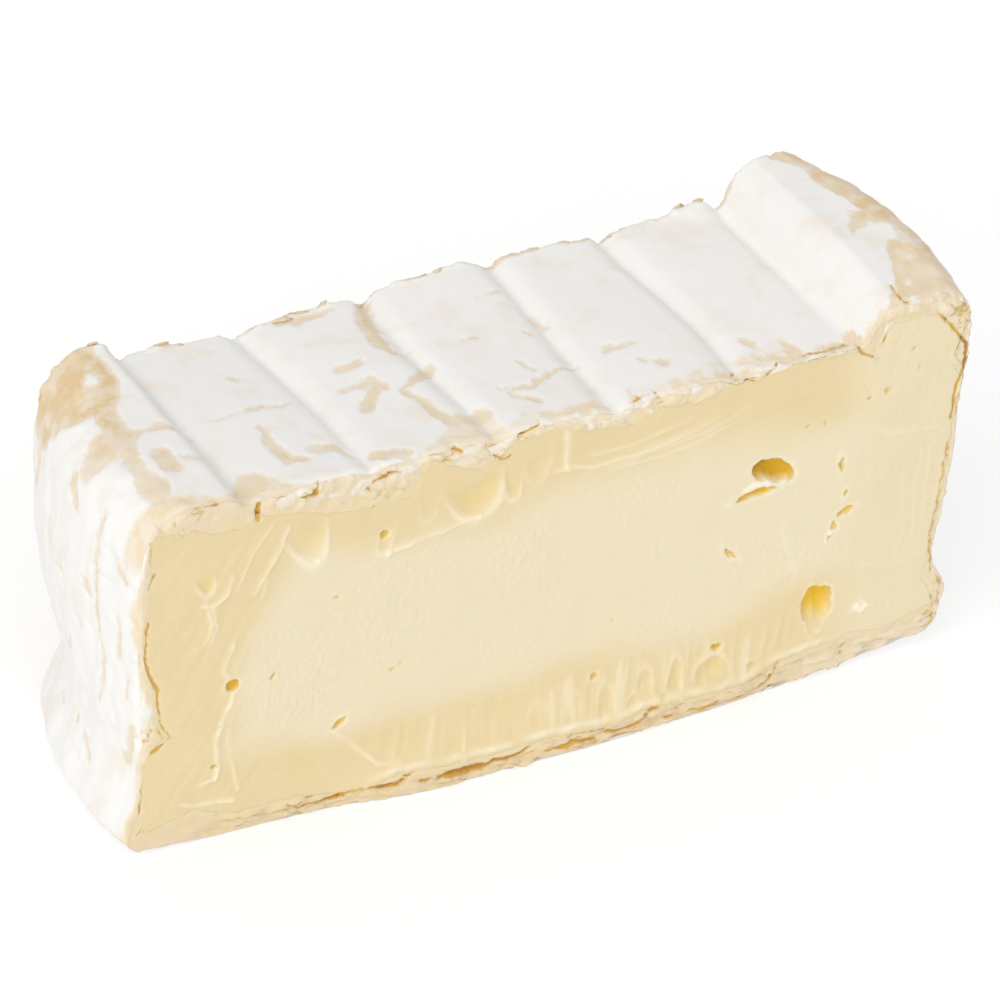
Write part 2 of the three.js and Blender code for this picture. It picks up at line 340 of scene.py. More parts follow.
# marks of the front cut, listed in mm on the face: cracks have half widths
cutMarks = {
    "cracks": [
        [(-81.3, 80.2, .15), (-77.8, 79.6, .2)], [(-68.8, 77.6, .3), (-68.7, 74.4, .8), (-68.2, 72.9, .3)],
        [(-66, 78, .12), (-62.5, 77.6, .16)], [(-59.4, 76.7, .3), (-56.3, 76.4, .45), (-55.9, 79.5, .15)],
        [(-43.4, 75.7, .35), (-40.7, 76.8, .5), (-37.8, 76.6, .3)], [(-44.3, 74.2, .35)], [(-43.1, 69.9, .3)],
        [(-25.8, 79.8, .35), (-24.1, 77.7, .35)], [(-17.1, 75.4, .2), (-14.4, 73.1, .25), (-12.3, 73.5, .15)],
        [(-11, 78.1, .55), (-8.6, 79.2, .5), (-7, 80, .25)], [(14.7, 79.8, .2), (16.5, 80.4, .3), (18.4, 80.2, .2)],
        [(19.5, 80.8, .2), (21.2, 78.5, .15)], [(37.6, 80.3, .4)], [(40.6, 77.9, .35), (43.2, 76.5, .3)],
        [(45.3, 76.9, .25), (47.8, 80, .4)], [(54, 80.6, .3), (58.3, 80.2, .25), (61.3, 80.6, .4), (64, 80.8, .2)],
        [(66, 80.3, .2), (68.4, 76.5, .25), (71.9, 74.4, .2)], [(72.5, 77.7, .25), (73.6, 79.8, .2)],
        [(73.8, 92, .2), (75.4, 89.5, .25), (78.1, 86, .15)],
        [(85.8, 81.7, .2), (89.3, 77.9, .35), (93.1, 72.9, .42), (93.2, 67.4, .35), (91.8, 61.8, .35),
         (91.5, 55.3, .3)],
        [(91.3, 49.8, .2), (90.4, 36.7, .18), (89, 27.5, .25), (89.8, 18.7, .15)],
        [(-90.6, 66.6, .25), (-92.2, 64.2, .2)],
        [(-91.9, 55.4, .4), (-91.9, 53.1, .35), (-92.4, 48.1, .25), (-91.2, 43.4, .45), (-89.3, 39.6, .35),
         (-89.1, 35.6, .25), (-87.9, 30.4, .2), (-86, 26.8, .12)],
        [(-87.7, 25.9, .35), (-89.9, 24.5, .4)], [(-92.3, 16.7, .18), (-92.1, 10.9, .15)],
        [(-59.5, 3.7, .25), (-56.6, 1.9, .2), (-53.6, 2.3, .3), (-48.5, 2.8, .5), (-42.9, 3.2, .25)],
        [(-41.2, 3.1, .3), (-36.2, 2.8, .35), (-33.9, 3.8, .3), (-32.4, 4.6, .2)],
        [(-30.5, 2.7, .4), (-28.1, 2.7, .25)],
        [(-26.4, 2.3, .3), (-23.7, 2.5, .5), (-21, 2.4, .65), (-17.6, 2.3, .6), (-15.3, 2.3, .5), (-13.6, 2.9, .5),
         (-12.2, 2.5, .35), (-9.9, 2.5, .3), (-7.6, 2.8, .45), (-5.4, 4.1, .15)],
        [(-2.2, 1.9, .15), (1.3, 2, .4), (5.3, 2.1, .4), (8.8, 1.7, .2)],
        [(11.9, 2.5, .25), (15.6, 1.9, .3), (19.2, 2.1, .25), (20.8, 3.1, .25), (22, 4.4, .45), (23.1, 4.7, .4),
         (24.7, 4.5, .15)],
        [(25.9, 1.7, .3), (27.7, 1.7, .3)], [(29, 2.5, .2), (30, 3.5, .18)],
        [(31.9, 1.9, .2), (34.7, .9, .25), (37.3, 1.1, .25), (39.5, 1.7, .25)],
        [(41, 1, .2), (46.8, 1.5, .25), (52, 2.2, .25), (54, 6, .35)], [(69.4, 2.9, .2), (70.3, 5.5, .2)],
    ],
    "crackDepth": 1.3,
    # raised strings and torn lips: half width, height, then points
    "ridges": [
        (.55, .55, [(-72.7, 34.7), (-73.4, 32.3), (-74.7, 29.8), (-75.4, 25.2), (-75.8, 21), (-76.6, 15)]),
        (.45, .35, [(-73.4, 27), (-72.6, 18), (-70.6, 10.5)]), (.4, .3, [(-75.8, 15.5), (-79.5, 14.6)]),
        (.5, .5, [(-82.1, 9.4), (-76, 8.9), (-71.6, 8.2)]), (.45, .4, [(-73.6, 37.5), (-75.5, 41), (-73, 46)]),
        (.4, .45, [(-72.9, 58.8), (-68.8, 65.8), (-64.1, 72.7)]),
        (.4, .5, [(-68.4, 56.4), (-64.3, 63.4), (-61.3, 69.6)]),
        (.35, .4, [(-66.9, 55.2), (-65.7, 60.3), (-62.3, 66.4)]),
        (.45, .5, [(-80.3, 56.4), (-77.9, 55.8), (-75.2, 58.6), (-74, 62)]),
        (.4, .4, [(-81.6, 60.6), (-79.4, 57.4), (-78.2, 52), (-80.4, 47.6), (-84, 46.2)]),
        (.45, .45, [(-77.8, 55.6), (-77.2, 51.4), (-79, 48)]),
        (.5, .5, [(-39.3, 57.6), (-34.5, 58.6), (-29.8, 59.9), (-22.1, 61.3), (-19.1, 61)]),
        (.8, .6, [(-.4, 76.2), (.2, 72), (.4, 69), (.6, 66.8)]), (.5, .25, [(-1.4, 66.7), (1, 67), (2.8, 66.6)]),
        (.42, .4, [(-1.1, 68.4), (5.9, 66), (17.3, 66.1), (30.9, 68.4), (39.9, 71.9), (46.8, 72.5)]),
        (.42, .26, [(8.3, 64.2), (19.8, 64.2), (31.2, 65.4), (40.2, 68.3), (48.3, 68.6)]),
        (.4, .16, [(2, 65.4), (14, 65), (27, 66.6), (38, 70)]),
        (.35, .14, [(12, 67.4), (24, 67.8), (34, 70), (42, 73)]),
        (.42, .26, [(4, 68.6), (16, 68.6), (28, 71), (36, 74)]),
        (.4, .24, [(16, 65.6), (32, 67.2), (42, 70.6), (50, 72)]),
        (.5, .35, [(-50.3, 19.2), (-45.7, 14.4), (-40.1, 8.6), (-34.6, 7.2)]),
        (.3, .16, [(83.6, 52), (84.6, 44), (83.8, 28)]), (.3, .14, [(86, 50), (87, 40), (86, 26)]),
        (.3, .12, [(80.8, 46), (81.6, 38), (80.8, 24)]), (.5, .2, [(72, 58), (78, 55), (88, 54.4)]),
        (.5, .15, [(73, 24), (82, 22.4), (88, 23.6)]), (.6, .35, [(71.4, 13.4), (73.4, 15.6), (75.4, 14)]),
        (.6, .14, [(50.7, 45.2), (52.4, 39), (54.5, 30.8), (55.9, 28)]),
    ],
    # scooped arches open below: x, z of the crown, width, length, tilt, depth, rim height, share of painted golden glow
    "arches": [
        (12.4, 13.4, 5.4, 10, 6, .6, .07, .25), (21.6, 14.2, 4.2, 8, -6, .5, .08, .2),
        (28.6, 14.4, 5.0, 10.4, 3, .7, .1, .3), (36.8, 12.6, 9, 7.4, 9, 1.1, .12, .5),
        (18.8, 9.2, 3.2, 3.6, 4, .5, .06, .3), (26.4, 8.0, 2.4, 3, 0, .8, .08, .55), (47.6, 9, 4.4, 4, 10, .6, .1, .3),
        (-3.4, 13, 6, 10, 6, .2, .05, .05), (5, 12.4, 4, 8, -3, .2, .05, .05), (-55.4, 60.4, 9.6, 11, 199, .9, .16, .4),
        (-18.8, 61.2, 13, 11, 192, 1.0, .16, .5), (-11.6, 62.8, 5, 8, 178, .45, .12, .3),
        (-5.4, 66.4, 6.4, 9, 184, .25, .06, .12),
        (-39.6, 58.4, 4.4, 8, 184, .35, .1, .25), (-79.2, 58.8, 4.6, 6, 190, .6, .12, .75),
        (-31, 63, 6, 9, 176, .2, .05, .08),
    ],
    # eyes: x, z, half width, half height, tilt, depth, undercut, uneven rim, kind
    "eyes": [
        (48.3, 53.2, 5.2, 4.0, -26, 4.6, .3, .12, "arch"), (45.2, 49.6, 4.0, 1.15, 6, 2.0, .1, .26, "hole"),
        (62.4, 17.4, 3.7, 5.6, -8, 5.0, .05, .16, "scoop"), (-72.9, 36.2, 1.55, 1.45, 0, 1.7, .3, .05, "hole"),
        (-48.5, 20.3, 1.9, .75, 28, 1.3, .1, .15, "hole"), (-64, 36, .9, .5, 50, .8, .1, .2, "hole"),
        (-76.2, 17.6, .6, .6, 0, .7, .2, .1, "hole"), (38.6, 14.3, 1.25, .8, 0, 1.3, .2, .2, "hole"),
        (9.7, 15.4, .95, .7, 0, .9, .2, .2, "hole"), (65.3, 51.4, .75, 1.7, 14, 1.2, .1, .2, "hole"),
        (67, 44, .5, .8, 10, .9, .1, .2, "hole"), (67.2, 39.6, 1.9, 1.0, 22, 1.2, .1, .25, "hole"),
        (64.7, 36.6, 1.2, .8, -50, .9, .1, .3, "hole"), (63.8, 34, .9, .5, 40, .7, .1, .3, "hole"),
        (40.1, 36.6, 1.9, .6, -50, .9, .1, .3, "hole"), (-40.3, 62.6, .9, 1.0, 0, 1.2, .2, .1, "hole"),
        (-50.6, 51, .5, .4, 0, .5, .2, .1, "hole"), (-37.2, 30, .8, .45, 10, .45, .0, .4, "hole"),
        (-35.2, 31, .7, .4, 40, .4, .0, .4, "hole"), (70.8, 65.6, .6, .4, 0, .5, .1, .2, "hole"),
        (56.4, 62.6, .5, .6, 0, .4, .1, .2, "hole"), (60.6, 62.4, .4, .5, 0, .4, .1, .2, "hole"),
        (75.2, 66.4, 1.3, .6, 10, .5, .1, .3, "hole"), (80.6, 74.8, .5, .5, 0, .5, .1, .2, "hole"),
        (82.2, 70, .4, .7, 0, .4, .1, .2, "hole"), (13.4, 27.8, .4, .4, 0, .3, .1, .2, "hole"),
    ],
    # pale torn strands over the big eye and crumbs of paste: points with half widths, stand
    "strands": [([(42.4, 51.0, .5), (44.6, 51.9, .8), (47.2, 51.6, .8), (50, 50.9, .6), (52.4, 50.9, .25)], .3)],
    "paleSpots": [[(72.2, 14.8, .8), (73.4, 14, 1.1), (74.4, 14.6, .7)],
                  [(64.4, 36.2, .5), (63.4, 33.6, .5)], [(64.9, 53.4, .3), (65.2, 52, .3)], [(-39.2, 58.4, .6)],
                  [(-55.2, 60.6, .5)], [(-19.2, 61.4, .5)], [(-11.6, 63, .4)]],
    # the pale, crumbly middle of the cheese: upper, lower and left borders
    "coreUp": [(-80, 62), (-66, 66), (-52.2, 63.6), (-39.7, 56.7), (-20.9, 59.8), (-9.7, 61.5), (3.8, 63.8),
               (26.7, 63.6), (45.3, 62.2), (66.9, 58.5), (90, 58)],
    "coreLow": [(-90, 22), (-50.3, 19.2), (-34.6, 18.4), (-18.8, 19.9), (1.8, 20.2), (20.4, 18.6), (46.3, 20.5),
                (64, 26), (90, 30)],
    "coreLeft": [(10, -70), (35.6, -72), (46.9, -70), (63.1, -60), (78, -56)], "coreRight": 70.0,
}

cutPlane = -halfDepth - 0.5
lean = {"x": 0.6, "z": 0.757}  # marks lie on the face as seen along this slope, so they run on over the top edge


def markPlace(points):
    back = np.maximum(points[..., 1] - cutPlane, 0)
    return points[..., 0] - lean["x"] * back, points[..., 2] + lean["z"] * back


# distance to the drawn cracks, their run and width shaken by noise on the face
def crackField(x, z):
    face = np.stack([x, np.zeros_like(x), z], -1)
    shake = 0.5 * grain(face, 1.9, 81, 2)
    return strokeField(x + shake, z - 0.8 * shake, cutMarks["cracks"]) + 0.22 * grain(face, 2.3, 79, 2)


# metres in the CAD frame, kept inside the solid's box
def toMetres(points):
    low = np.array(cadBox[0]) * 1000 + middle
    high = np.array(cadBox[1]) * 1000 + middle
    return ((np.clip(points, low, high) - middle) / 1000).astype(np.float32)


# one mesh from points, four-cornered faces and extra faces, with named values at its points and a flat map
def makePiece(name, points, quads, extra, values, corners, material):
    mesh = bpy.data.meshes.new(name)
    mesh.from_pydata(points.tolist(), [], quads.tolist() + extra)
    mesh.update()
    for label, value in values.items():
        layer = mesh.attributes.new(label, "FLOAT", "POINT")
        layer.data.foreach_set("value", np.ascontiguousarray(value, dtype=np.float32).ravel())
    if corners is not None:
        flat = mesh.uv_layers.new(name="OFBake")
        flat.data.foreach_set("uv", np.ascontiguousarray(corners, dtype=np.float32).ravel())
    mesh.polygons.foreach_set("use_smooth", np.ones(len(mesh.polygons), dtype=bool))
    mesh.materials.append(material)
    piece = bpy.data.objects.new(name, mesh)
    bpy.context.scene.collection.objects.link(piece)
    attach(piece, "root")
    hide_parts("brie_slab")
    print(name, len(mesh.polygons), "faces")
    return piece


def linear(text):
    parts = [int(text[i:i + 2], 16) / 255 for i in (1, 3, 5)]  # sRGB hex to linear colour
    return [p / 12.92 if p <= 0.04045 else ((p + 0.055) / 1.055) ** 2.4 for p in parts] + [1.0]


# one node with its settings by name or by input number; a socket among them is linked
def addNode(tree, kind, settings):
    node = tree.nodes.new(kind)
    for label, value in settings.items():
        if isinstance(value, bpy.types.NodeSocket):
            tree.links.new(value, node.inputs[label])
        elif isinstance(label, str) and hasattr(node, label):
            setattr(node, label, value)
        else:
            node.inputs[label].default_value = value
    return node


def noise(tree, place, millimetres, detail, roughness=0.5):
    return addNode(tree, "ShaderNodeTexNoise", {"Vector": place, "Scale": 1000.0 / millimetres, "Detail": detail,
                                                "Roughness": roughness}).outputs["Fac"]


def calc(tree, operation, *terms, clamp=False):
    settings = {"operation": operation, "use_clamp": clamp, **dict(enumerate(terms))}
    return addNode(tree, "ShaderNodeMath", settings).outputs[0]


def ramp(tree, value, low, high, least=0.0, most=1.0, curve="SMOOTHSTEP"):
    settings = {"interpolation_type": curve, "Value": value, "From Min": low, "From Max": high, "To Min": least,
                "To Max": most}
    return addNode(tree, "ShaderNodeMapRange", settings).outputs["Result"]


def blend(tree, share, first, second):
    first, second = [linear(c) if isinstance(c, str) else c for c in (first, second)]
    return addNode(tree, "ShaderNodeMix", {"data_type": "RGBA", 0: share, 6: first, 7: second}).outputs[2]


def bumpy(tree, height, strength, millimetres):
    settings = {"Height": height, "Strength": strength, "Distance": millimetres / 1000}
    return addNode(tree, "ShaderNodeBump", settings).outputs["Normal"]


crackLook = {"shake": 0.4, "edge": (0.36, 0.08)}


# share of the cracks' colour, a painted golden shade: a line cut from the distance to the cracks, its edge shaken by
# the grain
def inCrack(tree, grainy, distance):
    return ramp(tree, calc(tree, "MULTIPLY_ADD", grainy, crackLook["shake"], distance), *crackLook["edge"])


# an empty material, the place on the object and the mesh's own values by name
def startMaterial(name, labels):
    material = bpy.data.materials.new(name)
    material.use_nodes = True
    tree = material.node_tree
    tree.nodes.clear()
    place = addNode(tree, "ShaderNodeTexCoord", {}).outputs["Object"]
    read = {n: addNode(tree, "ShaderNodeAttribute", {"attribute_name": n}).outputs["Fac"] for n in labels}
    return material, tree, place, read


def closeMaterial(tree, settings):
    shader = addNode(tree, "ShaderNodeBsdfPrincipled", {"IOR": 1.45, **settings})
    addNode(tree, "ShaderNodeOutputMaterial", {"Surface": shader.outputs["BSDF"]})


# bloomy rind: a felt of white mould dried on the cheese. Matt and velvety, nearly white, tan where it is rubbed
# through, beige and flaky where the knife tore it, creamy where it meets the paste; down in the cracks a golden colour
# is painted as shade.
rindLook = {
    "white": "#EBE9E5", "thin": "#E9E2D9", "tanPale": "#E3D4BD", "tan": "#DABF93", "torn": "#E2D0B0",
    "tornPale": "#EADCC5", "gold": "#D0A550", "foot": "#DAC294", "cream": "#E3D1A7",
    "fuzzMm": 0.55, "blotchMm": 7.0, "edgeMm": 0.9, "driftMm": 3.6, "bump": 0.4, "bumpMm": 0.14, "tornBump": 1.6,
    # where each change begins and ends in its noise or distance, some with the values it runs between
    "thinning": (0.5, 0.72), "rubbing": (-0.55, 0.5), "deepening": (0.1, 2.2), "richness": (0.36, 0.6, 0.2, 1.25),
    "veil": (0.34, 0.52, 0.7, 1.0),
    "roughness": 0.86, "sheen": 0.12, "sheenRoughness": 0.6, "shine": 0.25, "melt": 0.92,
}


def makeRind():
    look = rindLook
    labels = ("bare", "torn", "crack", "tone", "foot", "melt")
    material, tree, place, read = startMaterial("white_mould_rind_dried", labels)
    fuzz, blotch = noise(tree, place, look["fuzzMm"], 3.0), noise(tree, place, look["blotchMm"], 4.0)
    ragged, drift = noise(tree, place, look["edgeMm"], 4.0, 0.6), noise(tree, place, look["driftMm"], 3.0)
    # the rubbed edge wanders by half a millimetre at close range and by a millimetre at long range
    wander, drifting = calc(tree, "MULTIPLY_ADD", ragged, 1.2, -0.6), calc(tree, "MULTIPLY_ADD", drift, 2.2, -1.1)
    field = calc(tree, "ADD", read["bare"], calc(tree, "ADD", drifting, wander))
    rubbed, deeper = ramp(tree, field, *look["rubbing"]), ramp(tree, field, *look["deepening"])
    skin = blend(tree, ramp(tree, blotch, *look["thinning"]), look["white"], look["thin"])
    rich = calc(tree, "MULTIPLY", read["tone"], ramp(tree, drift, *look["richness"], "LINEAR"))
    tan = blend(tree, calc(tree, "MULTIPLY", deeper, rich, clamp=True), look["tanPale"], look["tan"])
    # a thin veil of mould is left on the rubbed places
    veil = ramp(tree, blotch, *look["veil"], "LINEAR")
    face = blend(tree, calc(tree, "MULTIPLY", rubbed, veil), skin, tan)
    chip = blend(tree, read["foot"], blend(tree, read["tone"], look["torn"], look["tornPale"]), look["foot"])
    cut = blend(tree, read["torn"], face, chip)
    cut = blend(tree, calc(tree, "MULTIPLY", read["melt"], look["melt"]), cut, look["cream"])
    # painted golden shade down in the cracks
    colour = blend(tree, inCrack(tree, ragged, read["crack"]), cut, look["gold"])
    height = calc(tree, "MULTIPLY_ADD", calc(tree, "MULTIPLY", ragged, read["torn"]), look["tornBump"], fuzz)
    closeMaterial(tree, {"Roughness": look["roughness"], "Sheen Weight": look["sheen"],
                         "Sheen Roughness": look["sheenRoughness"], "Specular IOR Level": look["shine"],
                         "Base Color": colour, "Normal": bumpy(tree, height, look["bump"], look["bumpMm"])})
    return material


# soft ripened paste, cut and smeared by a knife: chalky and pale in the middle, buttery, yellower and faintly
# glossy towards the rind; light sinks in, and the golden glow of the holes and scoops is painted into the colour.
pasteLook = {
    "core": "#E6DABB", "cream": "#E3D1A8", "creamDeep": "#E0C994", "pale": "#F8F1DD", "hollowGlow": "#F3D564",
    "hollowGlowFull": "#EECB46", "crack": "#D9B05C", "grainMm": 1.3, "cloudMm": 9.0, "bump": 0.25, "bumpMm": 0.12,
    "coreRoughness": 0.6, "creamRoughness": 0.36, "grainRoughness": 0.16, "shine": 0.4,
    "softness": 0.4, "reachMm": (1.8, 1.5, 1.0),
}


def makePaste():
    look = pasteLook
    labels = ("cream", "hollowGlow", "smear", "pale", "crack")
    material, tree, place, read = startMaterial("soft_ripened_paste_cut", labels)
    cloud, fine = noise(tree, place, look["cloudMm"], 4.0), noise(tree, place, look["grainMm"], 3.0, 0.6)
    butter = blend(tree, calc(tree, "MULTIPLY", read["smear"], cloud), look["cream"], look["creamDeep"])
    base = blend(tree, read["cream"], look["core"], butter)
    # the pale share: torn strands, crumbs and eye rims, with painted highlights on ridge and drag crests, arch rims and
    # the foot lip
    light = blend(tree, read["pale"], base, look["pale"])
    # painted golden glow in the eyes and scoops
    glow = blend(tree, read["hollowGlow"], light, blend(tree, read["hollowGlow"], look["hollowGlow"], look["hollowGlowFull"]))
    # painted golden shade down in the cracks
    colour = blend(tree, inCrack(tree, fine, read["crack"]), glow, look["crack"])
    shine = ramp(tree, read["cream"], 0.0, 1.0, look["coreRoughness"], look["creamRoughness"], "LINEAR")
    rough = calc(tree, "MULTIPLY_ADD", fine, look["grainRoughness"], shine)
    closeMaterial(tree, {"Specular IOR Level": look["shine"], "Subsurface Weight": look["softness"],
                         "Subsurface Radius": look["reachMm"], "Subsurface Scale": 0.001, "Base Color": colour,
                         "Roughness": rough, "Normal": bumpy(tree, fine, look["bump"], look["bumpMm"])})
    return material


# dry rind crumbs broken off by the knife: matt, beige to off-white, flecked
crumbLook = {"beige": "#DECBA4", "pale": "#E6D8BC", "roughness": 0.85, "shine": 0.25, "grainMm": 0.5, "fleck": 0.6,
             "bump": 0.4, "bumpMm": 0.15}


def makeCrumb():
    look = crumbLook
    material, tree, place, read = startMaterial("dry_rind_crumb", ("tone",))
    fleck = noise(tree, place, look["grainMm"], 3.0)
    share = calc(tree, "MULTIPLY_ADD", fleck, look["fleck"], -look["fleck"] / 2, clamp=True)
    colour = blend(tree, calc(tree, "ADD", share, read["tone"], clamp=True), look["beige"], look["pale"])
    closeMaterial(tree, {"Roughness": look["roughness"], "Specular IOR Level": look["shine"], "Base Color": colour,
                         "Normal": bumpy(tree, fleck, look["bump"], look["bumpMm"])})
    return material


rindMaterial = makeRind()
crumbMaterial = makeCrumb()
pasteMaterial = makePaste()
print("materials made")

# the rind: a closed sleeve of top, ends and base with a torn band at each cut, in mm
rind = {
    "topColumns": 400, "endColumns": 150, "baseColumns": 190,
    "fineStep": 0.45, "fineReach": 5.0, "wideStep": 0.86, "backFineReach": 3.0,
    "frontBandRows": 20, "backBandRows": 9, "hiddenRows": 2,
    "skin": 0.32, "endWrinkle": 0.7, "topDent": 0.26, "crease": 0.12, "creaseHalf": 0.9,
    "dip": 0.12, "footDip": 0.15, "chip": 0.2, "chipMm": (3.4, 2.2, 2.2), "crumble": 0.13,
    "layer": 0.8, "slabMm": (7.5, 2.4, 1.5), "bandWave": 0.22, "fuzz": 0.05, "curl": 0.7,
    "backCurl": (1.8, 61, 5),  # rise, x, spread
    # worn edge at the front and back, its least, how uneven it is, and its share by side at the front
    "wear": (1.3, 0.9), "wearLeast": 0.25, "wearUneven": 0.8, "wearShare": (1.35, 1, 0.45, 1), "hideBehind": 4,
    # where a part of the rind sets in and where it is full: in z the top, its crest, the torn band's upper part and
    # the foot; in x the right rim, the smooth left part and the left corner
    "high": (66, 70), "crest": (70, 76), "backCrest": (70, 74), "upper": (60, 66), "foot": (8, 14),
    "rimFrom": (66, 74), "plain": (-62, -68), "leftCorner": (-78, -86),
    "covered": -3.0, "mostBare": 3.0,  # values of skin nowhere near rubbed through and of the barest rub
    "knob": (-84, 17, 12.5),  # x, y and spread of the rubbed knob on the left rim
    "richMean": 0.32, "richest": 1.4, "wobbleMm": 2.6, "driftMm": 7.0,
    # where the white skin stops on the top, (x, y)
    "whiteEdge": [(-95, -23), (-87, -22.2), (-81.5, -24), (-76.8, -26.6), (-73.2, -26), (-70.7, -22.4), (-68.8, -17.8),
                  (-65.4, -18.8), (-63.2, -20.4), (-62, -24.6), (-60.6, -26), (-58.4, -27), (-53, -28.4), (-46, -28.9),
                  (-41.8, -27), (-37.3, -28.8), (-28.6, -25), (-24, -22), (-20.1, -17.3), (-13.2, -20), (-12.1, -26.5),
                  (-6.6, -23), (2.3, -24), (9.4, -22.9), (13.5, -28.2), (17.6, -22.3), (24, -25.1), (36.9, -21.6),
                  (41.7, -21.1), (49, -21), (54.7, -19.3), (56.6, -25.1), (68.2, -22.7), (68.5, -27.2), (70.8, -26.7),
                  (73.7, -27.6), (78.7, -21.8), (82.3, -15.1), (86, -14), (95, -15)],
    # how far the torn band runs round onto the ends; on the left by z
    "rightTorn": 2.6,
    "leftTorn": [(0, 2.3), (9, 1.4), (15, 0.6), (20, 1.6), (27, 0.3), (34, -3), (39, -1), (44, 0.6), (51.5, 0.8),
                 (57.4, 2.2), (65.4, -0.6), (72, -1.6), (76, 0), (80, 1.5)],
    # rubbed strokes on the top: x, y, half width
    "topStrokes": [
        [(-16.1, 26.5, 1.4), (-19.6, 18.4, 2.1), (-21, 9.9, 1.8), (-19.5, 6.7, 1.2), (-16, 6.7, .4)],
        [(-32.9, 5.1, 1), (-27.5, 5.5, .9)], [(-36.1, -1.1, .8), (-32.5, -1.1, 1), (-28.4, -.6, 1), (-27.1, -3.8, .8)],
        [(-29.6, -3.7, 1.3), (-34.6, -9.2, 1.2)], [(-24, -5.7, .5), (-19.7, -2.9, 1), (-15.3, -.1, 1.5)],
        [(-24.5, -6.6, .8), (-22.7, -12.9, 1.2), (-21.3, -19.6, 1.6), (-14.8, -19.2, 2.5)],
        [(-64.3, -.7, .25), (-59.2, -.3, .4), (-52.9, -.2, .8), (-47.2, -.9, .2)],
        [(-56.5, -6.4, .5), (-57.6, -12.5, 1.3), (-57.2, -19, 1.5), (-53.7, -20.3, 1)],
        [(-51, -17.7, 1.3), (-46.4, -18.3, 1.5), (-44.8, -22.1, 1)], [(-53.5, 12.8, .6), (-52.4, 11.5, .6)],
        [(-39.9, -24.3, 1.8), (-35.4, -26.1, 1.8)], [(-35.5, 26.9, 1), (-31.7, 25, 1.3), (-23.3, 25.7, .3)],
        [(4.5, 16.4, .4), (9.5, 17.4, .4)], [(12.7, 7.8, .8), (13, 4.3, .8)], [(8.3, 2.2, .6), (8.9, 2, .6)],
        [(-5.1, 5, .4), (-2.1, 4.3, .4)], [(-7, -13.3, .5), (-.9, -15.5, .8), (7.4, -11.3, .8), (12.5, -10.9, .3)],
        [(1.7, -6.1, .5), (2.7, -10.1, .5)], [(-5.6, -16.6, .9), (-1.5, -20.5, .9)],
        [(18.9, -9.8, 1), (24.5, -10.1, .8)], [(23.6, -16.5, .3), (27.8, -19.4, 1)],
        [(46.8, -17.7, .7), (48.4, -20.5, .7)], [(-80.5, -10.7, 2.3), (-80.4, -15, 2.3)],
        [(-77.4, -11.7, .6), (-74.5, -14.2, .6)],
        [(-84, 6.9, 2.6), (-86, -4.7, 2.0), (-86.9, -14.9, 1.8), (-86.6, -20.2, 3)],
        [(84.6, 0, 2.2), (82, -2.2, 1.8), (79.6, -4.2, 1)], [(-85.6, 23.5, 8.5), (-84.6, 14.6, 7.4)],
        [(-79.8, 27.4, 3.4), (-78.4, 16, 2.2)],
    ],
    # white left inside the rubbed places, then the tan border of the right rim, (y, x)
    "topIslands": [[(-81.8, 17.6, 1.5)], [(77.4, -14.8, 2.2)], [(86.9, -22.4, 1.2), (88.6, -25.4, 1)]],
    "rightRim": [(-30, 79), (-25.4, 79.3), (-18.5, 80.9), (-13, 82.4), (-9.8, 84), (-8.6, 87.2), (-4.8, 88.2),
                 (-3.2, 84.6), (2, 85.6), (5.6, 84.9), (13.2, 82.8), (21.8, 82.6), (26.1, 79.2), (30, 78)],
    # rubbed strokes and slits on the left end: y, z, half width
    "endStrokes": [
        [(-15.3, 74.6, .4), (-15.5, 70.1, .7), (-14.9, 64.3, .7), (-14.4, 60.7, .6), (-14.2, 52.5, .6),
         (-14.6, 45.4, .7), (-16.3, 40.6, .8), (-15.3, 34.6, .9), (-14.3, 29.6, .3)],
        [(-22.1, 65.5, .7), (-24.4, 63.5, .7)],
        [(-21.4, 54.4, .5), (-22.9, 51.7, .5), (-21.9, 48.2, .5), (-21.3, 43.7, .5)],
        [(-1.7, 36.7, .4), (1.2, 30.9, .35)], [(13, 13.2, .4), (9.7, 11.9, .35)],
        [(-26.2, 29.6, 1.2), (-23.6, 20, 1.4)],
        [(-4.2, 14.9, .5), (-6.6, 14.2, .4)], [(-6.7, 13.1, .6), (-9.9, 12.3, .5)], [(0, 15.3, .6)],
        [(3.6, 51.7, .4), (1.3, 51.5, .3)], [(-9.7, 56, .4), (-11.3, 52.4, .3)], [(-5.3, 43.8, .5), (-6.9, 43.1, .4)],
        [(-24.7, 40.4, .4), (-24.5, 36.1, .4)], [(20.6, 68, 1), (19.3, 63.8, 1), (20.4, 59.6, .7)],
        [(-.8, 82.4, 3.7), (-4.3, 78.6, 3.4)], [(-1.4, 73.8, 1.4), (-5.6, 71, 1.2)],
    ],
}

# creases pressed into the left end: half width, depth, then (y, z) points
endFolds = [
    (0.7, 0.5, [(-26, 62.6), (-20, 61), (-13, 61.8)]), (0.6, 0.4, [(-24, 67), (-17, 68.6)]),
    (1.0, 0.5, [(-11.5, 70), (-10.6, 58), (-11.4, 46), (-12.6, 36)]), (1.2, 0.5, [(10, 66), (8.6, 52), (10.5, 41)]),
    (0.9, 0.4, [(2, 44), (6, 37), (5, 29)]), (1.4, 0.6, [(-18, 24), (-8, 22), (4, 25), (14, 23)]),
    (0.8, 0.4, [(-20, 40), (-18.6, 33), (-19.4, 27)]), (0.9, 0.45, [(16, 33), (20, 41), (21, 52)]),
    (0.8, 0.4, [(-2, 60), (1, 53), (-1, 47)]), (1.1, 0.45, [(-14, 12), (-6, 9), (3, 10.6)]),
]


